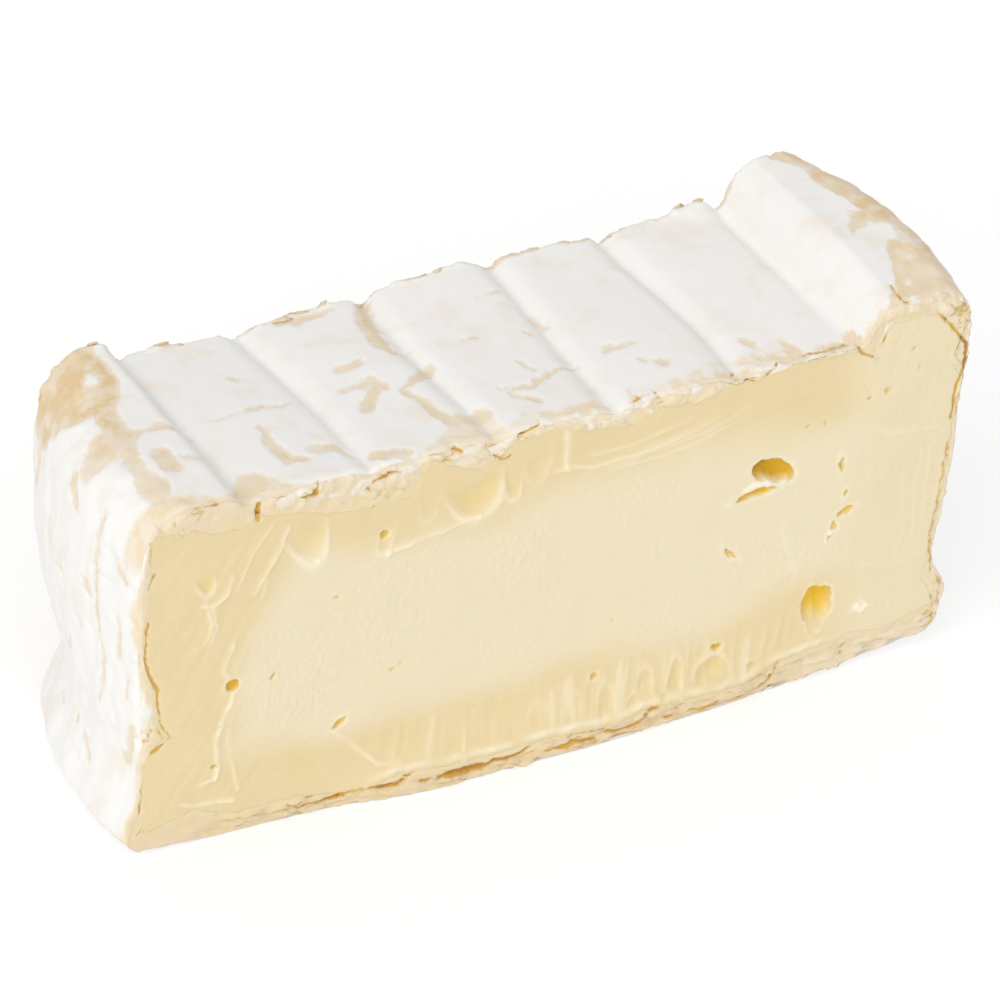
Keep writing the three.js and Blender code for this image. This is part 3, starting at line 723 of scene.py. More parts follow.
# columns round the slab, in box mm: top, right end, base, left end; then the side's number and the share along it
def rindColumns():
    wide, tall = slab["radius"], slab["height"]
    across = np.linspace(-wide, wide, rind["topColumns"] + 1)[:-1]
    down = np.linspace(tall, 0, rind["endColumns"] + 1)[:-1]
    back = np.linspace(wide, -wide, rind["baseColumns"] + 1)[:-1]
    x = np.concatenate([across, np.full_like(down, wide), back, np.full_like(down, -wide)])
    z = np.concatenate([np.full_like(across, tall), down, np.zeros_like(back), tall - down])
    counts = [rind["topColumns"], rind["endColumns"], rind["baseColumns"], rind["endColumns"]]
    return x, z, np.repeat(np.arange(4), counts), np.concatenate([np.arange(c) / c for c in counts])


# rows from the front cut to the back one: distances behind the front cut, then shares of the torn bands and the wall
def rindRows():
    fine = np.arange(0, rind["fineReach"], rind["fineStep"])
    rest = slab["depth"] - rind["fineReach"] - rind["backFineReach"]
    wide = rind["fineReach"] + np.linspace(0, rest, int(rest / rind["wideStep"]))
    end = slab["depth"] - np.arange(rind["backFineReach"] - rind["fineStep"], -1e-6, -rind["fineStep"])
    behind = np.concatenate([fine, wide, end])
    band = np.linspace(1, 0, rind["frontBandRows"] + 1)[:-1]
    bandBack = np.linspace(0, 1, rind["backBandRows"] + 1)[1:]
    hidden = np.linspace(0, 1, rind["hiddenRows"] + 2)[1:-1]
    return behind, band, bandBack, hidden


# unit normals of a closed grid: cross product of its two directions
def gridNormals(points):
    du = np.roll(points, -1, 1) - np.roll(points, 1, 1)
    dv = np.roll(points, -1, 0) - np.roll(points, 1, 0)
    n = np.cross(du, dv)
    return n / np.maximum(np.linalg.norm(n, axis=-1, keepdims=True), 1e-9)


# a square edge pressed onto an arc of the given radius: distances from the cut and from the outside
def wearEdge(away, inset, radius, still):
    a, b = np.maximum(radius - away, 0), np.maximum(radius - inset, 0)
    k = np.where(still | (a <= 0) | (b <= 0), 1, np.maximum(a, b) / np.maximum(np.hypot(a, b), 1e-9))
    shift = np.where((a > 0) & ~still, radius - a * k - away, 0)
    return shift, np.where(b > 0, radius - b * k, inset)


# sleeve point: the box edge pulled in towards the rind line, set m behind the front cut, edges worn round
def makeRindPiece():
    bx, bz, side, share = rindColumns()
    behind, band, bandBack, hidden = rindRows()
    u, v = (bx + slab["radius"]) / (2 * slab["radius"]), bz / slab["height"]
    inner = {f: cutBox(u, v, f, 0.0)[:2] for f in (True, False)}
    depth = {f: np.hypot(bx - inner[f][0], bz - inner[f][1]) for f in (True, False)}
    ones = np.ones((1, len(bx)))
    # zone of every row: 1 and 2 the torn bands in front and behind, 0 the outside, 3 the hidden wall
    counts = [len(band), len(behind), len(bandBack), len(hidden)]
    zone = np.repeat([1.0, 0.0, 2.0, 3.0], counts)[:, None] * ones
    # distance behind the front cut and inset from the outside, in mm, for every row
    m = np.concatenate([0 * band, behind, slab["depth"] + 0 * bandBack, slab["depth"] * (1 - hidden)])[:, None] * ones
    inset = np.concatenate([band[:, None] * depth[True], np.zeros((len(behind), len(bx))),
                            bandBack[:, None] * depth[False], mix(depth[False], depth[True], hidden[:, None])])
    spot = np.stack([bx, 0 * bx, bz], -1)
    for front, away in ((True, m), (False, slab["depth"] - m)):
        wear = rind["wear"][0 if front else 1] * (1 + rind["wearUneven"] * grain(spot, 9.0, 61 + front, 2))
        wear = (wear + rind["wearLeast"]) * (np.choose(side, rind["wearShare"]) if front else 1)
        wear = np.minimum(wear, 0.85 * depth[front])[None, :]  # the worn edge stops short of the paste
        shift, inset = wearEdge(away, inset, wear, zone == 3)
        m = m + (shift if front else -shift)
    y, toFront = m - halfDepth, np.clip(1 - m / slab["depth"], 0, 1)
    shares = {f: inset / np.maximum(depth[f], 1e-6) for f in (True, False)}
    boxX, boxZ = [mix(mix(outside, inner[False][i], shares[False]), mix(outside, inner[True][i], shares[True]), toFront)
                  for i, outside in enumerate((bx, bz))]
    x, z = slabPoint(boxX, y, boxZ)
    out = cutSwell(x, z, inset, True) * (1 - smooth(0, 9, m))
    out = out - cutSwell(x, z, inset, False) * smooth(slab["depth"] - 9, slab["depth"], m)
    # the hidden wall is tucked behind the paste
    hide = halfDepth - rind["hideBehind"]
    points = np.stack([x, np.where(zone == 3, np.clip(y - out, -hide, hide), y - out), z], -1)
    return points, zone, m, inset, side, share, np.where(zone == 1, shares[True], shares[False])


# what colours the rind: bare is above zero where it is rubbed through, torn the share of torn band, rich the depth
# of the tan
def rindFields(points, zone, m, side, reach):
    x, y, z = np.moveaxis(points, -1, 0)
    wobA, wobB = [grain(points, rind["wobbleMm"], seed, 2) for seed in (71, 72)]
    coarse = grain(points, rind["driftMm"], 73, 2)
    wx, wy, wz = x + 0.8 * wobA, y + 0.9 * wobB, z + 0.9 * wobA
    high, rim, covered = smooth(*rind["high"], z), smooth(*rind["rimFrom"], x), rind["covered"]
    ends, left = (side == 1) | (side == 3), side == 3
    rightRim = 1.6 * np.minimum(wx - along(rind["rightRim"], y), z - 76 + 4 * coarse)
    top = np.maximum(-strokeField(wx, wy, rind["topStrokes"]), rightRim)
    top = np.minimum(top, strokeField(wx, wy, rind["topIslands"]))
    edge = along(rind["whiteEdge"], wx) - wy - 0.3
    top = np.maximum(top, np.where(x > rind["rimFrom"][0], edge + 0.5 * wobA, covered))
    # spots of white left on the front of the right rim
    spots = smooth(-0.05, 0.35, grain(points, 5.0, 111, 2)) * smooth(70, 76, x) * smooth(-4, -11, y)
    top = np.minimum(top, 2.2 - 2.25 * spots)
    endLeft = -strokeField(wy, wz, rind["endStrokes"])
    nearBack = 0.6 + 2.2 * coarse - (slab["depth"] - m)
    scuffed = 3.0 * (grain(points * [1, 1, 0.6], 13.0, 74, 3) - 0.42)  # stray rubs on the sides that do not show
    bare = np.maximum.reduce([
        np.where(high > 0, top - 3 * (1 - high), covered),
        np.where(x < -70, endLeft - 3 * smooth(-86, -80, x), covered),
        np.where((x > 80) & (z < 76), scuffed, covered),
        np.where(z < 4, scuffed + 0.4, covered),
        np.where(zone == 0, np.where(y > 0, nearBack, covered), np.where(ends, -0.6, 1.0)),
    ])
    # how far the torn band runs round onto the end, in mm behind the cut
    onto = np.where(x > 0, rind["rightTorn"], along(rind["leftTorn"], z)) + 1.1 * wobB + 0.9 * coarse
    into = np.where(ends, smooth(-0.8, 0.8, onto + 5 * reach), 1.0)
    # a film of white is left on the torn strip of the top, thicker towards the right
    film = smooth(-0.25, 0.3, grain(points, 4.0, 110, 3)) * mix(0.35, 0.85, smooth(-24, 4, x)) * mix(1, 0.6, rim)
    onTop = smooth(-0.5, 1.1, edge + 1.2 * wobB + 0.7 * coarse) * high * (1 - np.maximum(film, 0.9 * spots))
    # the torn foot runs round the lower left corner
    corner = smooth(4.8, 2.6, z + 1.5 * coarse) * smooth(-14, -22, y) * left
    onEnd = np.maximum(smooth(-0.9, 0.9, onto - m) * ends, corner)
    rimmed = rim * high
    torn = np.where(zone > 0, into, np.maximum(onTop * (1 - 0.45 * rimmed), onEnd))
    knobX, knobY, spread = rind["knob"]
    knob = hump(np.hypot(x - knobX, y - knobY), spread) * high
    rich = rind["richMean"] + 0.35 * coarse + 1.1 * knob + 0.4 * rimmed - 0.35 * left * smooth(76, 66, z)
    return np.clip(bare, covered, rind["mostBare"]), torn, coarse, np.clip(rich, 0, rind["richest"])


# flat map of the sleeve: the top, the base and the two ends as three bands, the hidden wall squeezed at the band's edge
def sleeveMap(points, zone, side, share):
    step = np.linalg.norm(np.diff(points, axis=0, append=points[:1]), axis=-1).mean(1)
    step = np.where(zone.max(1) == 3, 0.05, 1.0) * step
    climb = np.concatenate([[0], np.cumsum(step)]) / step.sum()
    column = 1.0 / np.array([rind[n + "Columns"] for n in ("top", "end", "base", "end")])[side]
    origin = np.array([[0.01, 0.01], [0.55, 0.67], [0.01, 0.34], [0.01, 0.67]])[side]
    width = np.array([0.98, 0.42, 0.98, 0.42])[side]
    v0, v1 = [origin[None, :, 1] + 0.31 * part[:, None] for part in (climb[:-1], climb[1:])]
    u0, u1 = [np.broadcast_to(origin[:, 0] + width * part, v0.shape) for part in (share, share + column)]
    return np.stack([u0, v0, u1, v0, u1, v1, u0, v1], -1)


def buildRind():
    points, zone, m, inset, side, share, reach = makeRindPiece()
    x, y, z = np.moveaxis(points, -1, 0)
    bare, torn, coarse, rich = rindFields(points, zone, m, side, reach)
    outer, front, rear = zone == 0, zone == 1, zone == 2
    ends, toBack = (side == 1) | (side == 3), slab["depth"] - m
    into, low = np.where(front | rear, reach, 0.0), 1 - smooth(*rind["foot"], z)
    upper = smooth(*rind["upper"], z)
    plain = smooth(*rind["plain"], x) * upper
    ragged = front * upper * (1 - plain)
    # chips of crust, and larger flat slabs of it along the foot
    jitter = 0.35 * grain(points, 1.7, 81, 2)[..., None]
    near, far, mark = flakes(points + 0.5 * jitter, rind["chipMm"], 82)
    seam, chip = 1 - smooth(0.0, 0.16, far - near), (unit(mark, 0) - 0.5) * 2
    slabNear, slabFar, slabMark = flakes(points + jitter, rind["slabMm"], 89)
    layer = (unit(slabMark, 0) - 0.5) * 2
    # fine cracks run between chips where the crust is dry, and between the slabs of the foot
    dry = smooth(0.0, 0.4, grain(points, 12.0, 83, 2))
    fine = 1.3 * (far - near) - 0.1 + 1.2 * (1 - dry)
    whole = 0.9 * (1 - smooth(-0.15, 0.25, grain(points, 9.0, 90, 2)))
    layers = 1.9 * (slabFar - slabNear) - 0.02 + whole + 2 * (1 - low)
    layers += 1.2 * (smooth(-56, -66, x) + smooth(54, 64, x))
    drawn = np.where((m < np.where(side == 1, 0.9, 9)) & (zone < 2), crackField(*markPlace(points)), 9.0)
    inFront = np.minimum(np.minimum(drawn, fine + 0.06), layers)
    crack = np.where(rear, np.minimum(fine - 0.12, layers), np.where(front, inFront, drawn))
    gap = 1 - smooth(-0.6, 0.25, crack)
    band = np.maximum(front | rear, torn)
    # white skin stands a little over the rubbed places; the torn band lies a little lower along the foot
    lift = -rind["skin"] * np.maximum(smooth(-0.5, 0.4, bare), torn) * outer
    lift -= rind["footDip"] * low * hump(into - 0.45, 0.3)
    lift += rind["bandWave"] * grain(np.stack([x, 0 * x, z], -1), 12.0, 104, 3) * front
    lift += rind["topDent"] * grain(points, 15.0, 84, 3) * outer
    lift += rind["endWrinkle"] * grain(points * [1, 1, 0.4], 6.0, 85, 3) * outer * smooth(82, 90, np.abs(x))
    lift += rind["fuzz"] * grain(points, 1.5, 86, 2) * outer
    for half, sunk, path in endFolds:
        away = strokeField(y + 2 * coarse, z + 2 * coarse, [[(a, b, 0.0) for a, b in path]])
        lift -= sunk * hump(away, half) * outer * smooth(80, 86, -x)
    for i, depth in enumerate(slab["grooveShare"]):
        line = hump(x - grooveLine(i, y), rind["creaseHalf"])
        lift -= rind["crease"] * depth * line * smooth(*rind["crest"], z) * outer
    # some chips of the upper band keep their white skin
    whiteFlake = smooth(0.62, 0.7, unit(mark, 1)) * ragged
    torn, bare = torn * (1 - 0.6 * whiteFlake), mix(bare, rind["covered"], whiteFlake)
    # chips stand out near cracks, layers along the foot, crumbs all over the band
    calm = 1 - 0.6 * smooth(0.6, 1.0, into) * (1 - ragged)
    broken = hump(np.maximum(crack, 0), 2.2) * np.where(ends, 0.35, 1.0)
    broken = broken * mix(1, 0.2, low * smooth(*rind["leftCorner"], x))
    chipped = rind["chip"] * (0.3 + 0.9 * broken) * chip * smooth(0, 0.25, far - near)
    lift += band * calm * (chipped - 0.2 * seam * (0.2 + broken))
    lift += ragged * (0.3 * grain(points, 4.5, 109, 2) + 0.22 * chip * smooth(0, 0.3, far - near))
    layered = rind["layer"] * layer * smooth(0, 0.3, slabFar - slabNear) - 0.05
    lift += band * calm * low * smooth(-86, -74, x) * layered
    crumbly = grain(points, 2.6, 87, 2) + 0.8 * grain(points, 1.1, 88, 2)
    lift += band * calm * rind["crumble"] * (1 + 1.2 * broken) * crumbly
    # towards the paste the band lies flush, and its left part is smooth
    settle = 0.92 * smooth(mix(0.45, 0.66, np.maximum(low, ragged)), 0.98, into)
    lift = np.where(front | rear, lift * (1 - settle) * (1 - 0.5 * plain), lift)
    lift -= rind["dip"] * smooth(0.6, 1.0, into)
    # the back edge of the top is ragged where the skin curls
    onBack = outer * smooth(*rind["backCrest"], z)
    curls = smooth(0.05, 0.5, grain(points, (5.0, 2.0, 2.0), 107, 2))
    lift += rind["curl"] * curls * smooth(3.0, 0.6, toBack) * onBack
    rise, middleX, spread = rind["backCurl"]
    lift += rise * hump(x - middleX, spread) * smooth(7, 1, toBack) * onBack
    lift = np.where(zone == 3, 0, lift)
    # the rows that meet the paste lean like their neighbours, not like the hidden wall
    outward, last = gridNormals(points), np.flatnonzero(rear[:, 0])[-1]
    outward[0], outward[last] = outward[1], outward[last - 1]
    points = points + outward * lift[..., None]
    # cracks sink straight back from the cut, shallower over the worn edge
    sunk = gap * np.minimum(cutMarks["crackDepth"], 0.3 + 0.5 * inset)
    points[..., 1] += np.where(front, sunk, np.where(rear, -sunk, 0))
    points[..., 2] -= np.where(outer & (z > 60), 0.9 * gap, 0)
    points[..., 2] = np.maximum(points[..., 2], 0.0)
    tone = np.clip(0.5 + 0.35 * chip + 0.4 * coarse - 0.4 * plain + 0.4 * hump(x + 18, 30) * outer, 0, 1)
    tone = np.where(outer, mix(rich, tone, torn), tone)
    foot = 0.75 * low * (0.8 + 0.5 * coarse) * (zone > 0)
    foot = np.clip(foot * (1 - 0.75 * smooth(48, 62, x)) * (1 - 0.2 * smooth(-62, -80, x)), 0, 1)
    melting = reach + 0.5 * coarse + 0.3 * grain(points, 3.0, 108, 2)
    melt = np.where(zone > 0, smooth(mix(0.1, 0.45, np.maximum(plain, low)), 0.95, melting), 0.0)
    values = {"bare": bare, "torn": torn, "crack": np.clip(crack, -2, 2), "tone": tone, "foot": foot, "melt": melt}
    makePiece("rind_sleeve", toMetres(points).reshape(-1, 3), gridQuads(x.shape, x.shape), [], values,
              sleeveMap(points, zone, side, share), rindMaterial)
    return points, zone, m, crack


rindPoints, rindZone, rindBehind, rindCrack = buildRind()


# a smeared ridge: bell across its path, steep on one side and drawn out on the other; a fading one thins towards
# its end
def ridgeRelief(x, z, path, half, fading=False):
    near, side, run = np.full_like(x, 99.0), np.ones_like(x), np.zeros_like(x)
    for i, (start, end) in enumerate(zip(path, path[1:])):
        t, px, pz = nearestOn(x, z, start, end)
        gap = np.hypot(px, pz)
        turn = np.sign((end[0] - start[0]) * pz - (end[1] - start[1]) * px)
        side = np.where(gap < near, turn, side)
        run = np.where(gap < near, (i + t) / (len(path) - 1), run)
        near = np.minimum(near, gap)
    fade = smooth(-0.02, 0.1, run) * smooth(1, 0.45, run) if fading else 1.0
    return fade * hump(near, np.where(side > 0, half * pasteCut["ridgeTail"], half))


# a scooped arch: crown at the origin, open downwards; sunk most under the crown, a lip standing round it. It also
# gives the share of painted golden glow inside it and its rim, which is painted pale as a highlight
def archRelief(x, z, arch):
    cx, cz, width, length, tilt, depth, lip, gold = arch
    c, s = math.cos(math.radians(tilt)), math.sin(math.radians(tilt))
    p = ((x - cx) * c + (z - cz) * s) / (width / 2)
    r = -(-(x - cx) * s + (z - cz) * c) / length
    inside = r - p * p * (0.35 + 0.65 * np.clip(r, 0, 1))
    fade = 1 - smooth(0.15, 1.0, r)
    dent = depth * smooth(-0.05, 0.55, inside) * fade
    onRim, opened = hump(inside + 0.03, 0.12), smooth(-0.4, -0.1, r)
    return lip * onRim * fade * opened - dent, gold * smooth(0.05, 0.4, inside) * fade, onRim * fade * opened


# waves of an eye's rim: size, turns round it, shift
eyeWaves = [(0.6, 2, 1), (0.5, 3, 2), (0.3, 5, 1), (0.16, 8, 3), (0.12, 13, 5)]


# eyes: inside the rim the face is carried round a ball, its meridian evenly spaced from rim to floor; each eye
# also gets a share of painted golden glow
def sinkEyes(x, z, eyes, seed):
    sink, hollowGlow, rim = np.zeros_like(x), np.zeros_like(x), np.zeros_like(x)
    for number, (ex, ez, halfW, halfH, tilt, depth, under, wobble, kind) in enumerate(eyes):
        c, s = math.cos(math.radians(tilt)), math.sin(math.radians(tilt))
        p = ((x - ex) * c + (z - ez) * s) / halfW
        q = (-(x - ex) * s + (z - ez) * c) / halfH
        angle = np.arctan2(q, p)
        phase = 1.3 * number + seed
        edge = 1 + wobble * sum(size * np.sin(turns * angle + shift * phase) for size, turns, shift in eyeWaves)
        if kind == "arch":
            edge = edge * (1 - 0.42 * smooth(0.15, -0.85, np.sin(angle)))
        r = np.hypot(p, q) / edge
        near = min(0.3, 0.4 / min(halfW, halfH))  # grid points this close to the rim are drawn onto it
        r = 1 + (r - 1) * np.minimum(np.abs(r - 1) / near, 1)
        inside, moved = r < 1, r < 1 + near
        rim = np.maximum(rim, hump((r - 1) * min(halfW, halfH) - 0.35, 0.4) * (depth > 0.8))
        phi = (math.pi / 2 + under) * (1 - np.minimum(r, 1))
        rho = np.cos(phi - under) / math.cos(under)
        fall = (np.sin(phi - under) + math.sin(under)) / math.cos(under)
        scale = np.where(inside, rho, r) * edge / np.maximum(np.hypot(p, q), 1e-6)
        if kind == "scoop":
            fall = fall * smooth(-0.85, 0.6, q) * (1 - 0.5 * hump(p + 0.05, 0.24) * smooth(0.55, -0.3, q))
        x = np.where(moved, ex + p * scale * halfW * c - q * scale * halfH * s, x)
        z = np.where(moved, ez + p * scale * halfW * s + q * scale * halfH * c, z)
        sink = np.where(inside, np.maximum(sink, depth * fall), sink)
        # share of painted golden glow, stronger down in the eye and in eyes that sink further
        full = smooth(0.0, 0.55, fall) * min(1.0, 0.35 + depth / 3.2)
        hollowGlow = np.where(inside, np.maximum(hollowGlow, full), hollowGlow)
    return x, z, sink, hollowGlow, rim


# the cut paste: one face of each cut, its border tucked under the torn rind, in mm
pasteCut = {
    "frontColumns": 470, "frontRows": 184, "backColumns": 450, "backRows": 176, "frontSeed": 100, "backSeed": 200,
    "overlap": 1.5, "tuck": 0.6, "wall": 5.0, "wallIn": (0.95, 0.72),
    # knife streaks: height, size along and across, and their slope in radians by place
    "streak": 0.15, "streakMm": (24, 2.2), "middleTurn": 0.15, "leftTurn": 1.05, "rightTurn": 1.4, "footTurn": 1.5,
    "ripple": 0.17, "rippleMm": (0.9, 3.0, 1.5), "soft": 0.22, "ridgeTail": 2.6, "longSmear": 28,
    "coreSoft": 5.5, "coreDrift": 3.5, "coreDriftMm": 22.0,
    "backCore": (60, 20, -68, 70),  # upper, lower, left and right border of the pale middle
}
# knife marks of the back cut: how many, and the ranges they are drawn from, in mm
backSmears = {"count": 26, "seed": 31, "reachX": 82, "lowShare": 0.4, "low": (8, 18), "high": (60, 70),
              "length": (5, 22), "bend": (-3, 3), "half": (0.3, 0.5), "height": (0.12, 0.32)}
backArches = {"count": 9, "reachX": 75, "lowShare": 0.5, "low": 13, "high": 68, "width": (4, 11), "length": (5, 9),
              "tilt": (-10, 10), "depth": (0.4, 1.0), "lip": 0.2, "gold": 0.25}
backEyes = {"count": 9, "seed": 7, "reachX": 66, "low": 14, "high": 60, "smallest": 2.4, "largest": 8,
            "depth": 0.7, "under": 0.2, "wobble": 0.16}


# eyes of the back cut, evenly set along it, their size, height and tilt drawn by a plain counter
def drawBackEyes():
    state = float(backEyes["seed"])
    eyes = []

    def draw():
        nonlocal state
        state = (state * 1103515245 + 12345) % 2147483648
        return state / 2147483648
    for i in range(backEyes["count"]):
        width = backEyes["smallest"] + (backEyes["largest"] - backEyes["smallest"]) * draw() ** 3
        z = backEyes["low"] + (backEyes["high"] - backEyes["low"]) * draw()
        tall = width * (0.6 + 0.5 * draw())
        tilt = 80 * (draw() - 0.5)
        x = backEyes["reachX"] * (2 * (i + 0.5) / backEyes["count"] - 1)
        eyes.append((x, z, width / 2, tall / 2, -tilt, backEyes["depth"] * width, backEyes["under"],
                     backEyes["wobble"], "hole"))
    return eyes


# distance inside the pale, crumbly middle of the paste, its border wandering
def coreField(x, z, front, points):
    wander = pasteCut["coreDrift"] * grain(points, pasteCut["coreDriftMm"], 91 if front else 92, 2)
    if front:
        up, low = along(cutMarks["coreUp"], x) - z, z - along(cutMarks["coreLow"], x)
        left, right = x - along(cutMarks["coreLeft"], z), cutMarks["coreRight"] - x
    else:
        upper, lower, leftmost, rightmost = pasteCut["backCore"]
        up, low, left, right = upper - z, z - lower, x - leftmost, rightmost - x
    return np.minimum(np.minimum(up, low), np.minimum(left, right)) + wander


# knife marks of the front cut, traced: relief, golden and pale shares are added to; the golden share is a painted
# glow in the scoops, the pale share a painted highlight on ridge crests and arch rims
def frontMarks(x, z, flat, seed, relief, gold, pale):
    jitter = 0.3 * grain(flat, 2.4, seed + 6, 2) + 0.9 * grain(flat, 9.0, seed + 7, 1)
    swells = np.clip(0.75 + 0.9 * grain(flat, 5.0, seed + 8, 2), 0.1, 1.4)
    for half, height, path in cutMarks["ridges"]:
        long = sum(math.dist(a, b) for a, b in zip(path, path[1:])) > pasteCut["longSmear"]
        loose = 0.35 if long else 1.0  # long smears run straighter and more even
        shape = ridgeRelief(x + loose * jitter, z - loose * jitter, path, 0.75 * half, long)
        relief += 0.7 * height * mix(1, swells, loose) * shape
        # the crest of each ridge is painted pale as a highlight
        pale = np.maximum(pale, 0.5 * mix(1, swells, loose) * shape ** 2 * min(1, height / 0.5))
    for arch in cutMarks["arches"]:
        shape, tint, rim = archRelief(x + jitter, z + jitter, arch)
        relief += 1.35 * shape
        # painted golden glow inside the scoop, and a painted highlight on its rim
        gold = np.maximum(gold, 1.2 * tint)
        pale = np.maximum(pale, rim * min(0.55, arch[6] / 0.4))
    return relief, gold, pale, jitter


# knife marks of the back cut, drawn at random near the rind and lying along it
def backMarks(x, z, flat, seed, relief, gold, pale):
    rng = np.random.default_rng(backSmears["seed"])
    jitter = 0.3 * grain(flat, 2.4, seed + 6, 2) + 1.2 * grain(flat, 10.0, seed + 7, 1)
    for turn in range(backSmears["count"]):
        cx = rng.uniform(-backSmears["reachX"], backSmears["reachX"])
        cz = rng.uniform(*backSmears["low" if rng.random() < backSmears["lowShare"] else "high"])
        reach, bend = rng.uniform(*backSmears["length"]), rng.uniform(*backSmears["bend"])
        path = [(cx - reach / 2, cz), (cx, cz + bend), (cx + reach / 2, cz + 0.6 * bend)]
        shape = ridgeRelief(x + jitter, z - jitter, path, rng.uniform(*backSmears["half"]))
        height = rng.uniform(*backSmears["height"])
        relief += height * shape
        # the crest of each smear is painted pale as a highlight
        pale = np.maximum(pale, height * shape ** 3)
    for turn in range(backArches["count"]):
        low = rng.random() < backArches["lowShare"]
        cx, cz = rng.uniform(-backArches["reachX"], backArches["reachX"]), backArches["low" if low else "high"]
        width, length, tilt, depth = [rng.uniform(*backArches[n]) for n in ("width", "length", "tilt", "depth")]
        arch = (cx, cz, width, length, tilt + (0 if low else 180), depth, backArches["lip"], backArches["gold"])
        shape, tint, rim = archRelief(x + jitter, z + jitter, arch)
        relief += shape
        # painted golden glow inside the scoop, and a painted highlight on its rim
        gold = np.maximum(gold, tint)
        pale = np.maximum(pale, 0.3 * rim)
    return relief, gold, pale, jitter


# the face is closed by a wall behind its border and a fan to one middle point; its flat map gets two strips for them
def closeFace(points, face):
    rows, columns = points.shape[0] - 1, points.shape[1] - 1
    total = (rows + 1) * (columns + 1)
    ring = np.concatenate([np.arange(columns), columns + (columns + 1) * np.arange(rows),
                           rows * (columns + 1) + np.arange(columns, 0, -1), (columns + 1) * np.arange(rows, 0, -1)])
    wall, half, n = points.reshape(-1, 3)[ring].copy(), slab["height"] / 2, len(ring)
    wall[:, 1] -= face * pasteCut["wall"]
    wall[:, 0] *= pasteCut["wallIn"][0]
    wall[:, 2] = half + pasteCut["wallIn"][1] * (wall[:, 2] - half)
    centre = np.array([[0.0, wall[:, 1].mean(), half]])
    quads = gridQuads((rows, columns), (rows + 1, columns + 1))
    near, far = np.arange(n), (np.arange(n) + 1) % n
    sides = np.stack([ring[far], ring[near], total + near, total + far], -1)
    cap = np.stack([total + far, total + near, np.full(n, total + n)], -1).tolist()
    flatMap = np.stack(np.meshgrid(np.linspace(0.02, 0.98, columns + 1), np.linspace(0.02, 0.94, rows + 1)), -1)
    strip = np.linspace(0.02, 0.98, n + 1)

    def corner(u, v):
        return np.stack([u, np.full(n, v)], -1)
    ahead, behind = strip[1:], strip[:-1]
    wallMap = [corner(ahead, 0.955), corner(behind, 0.955), corner(behind, 0.97), corner(ahead, 0.97)]
    capMap = [corner(ahead, 0.975), corner(behind, 0.975), corner(behind, 0.985)]
    corners = np.concatenate([flatMap.reshape(-1, 2)[quads].ravel()] + [np.concatenate(part, -1).ravel()
                                                                        for part in (wallMap, capMap)])
    return np.concatenate([points.reshape(-1, 3), wall, centre]), np.concatenate([quads, sides]), cap, corners


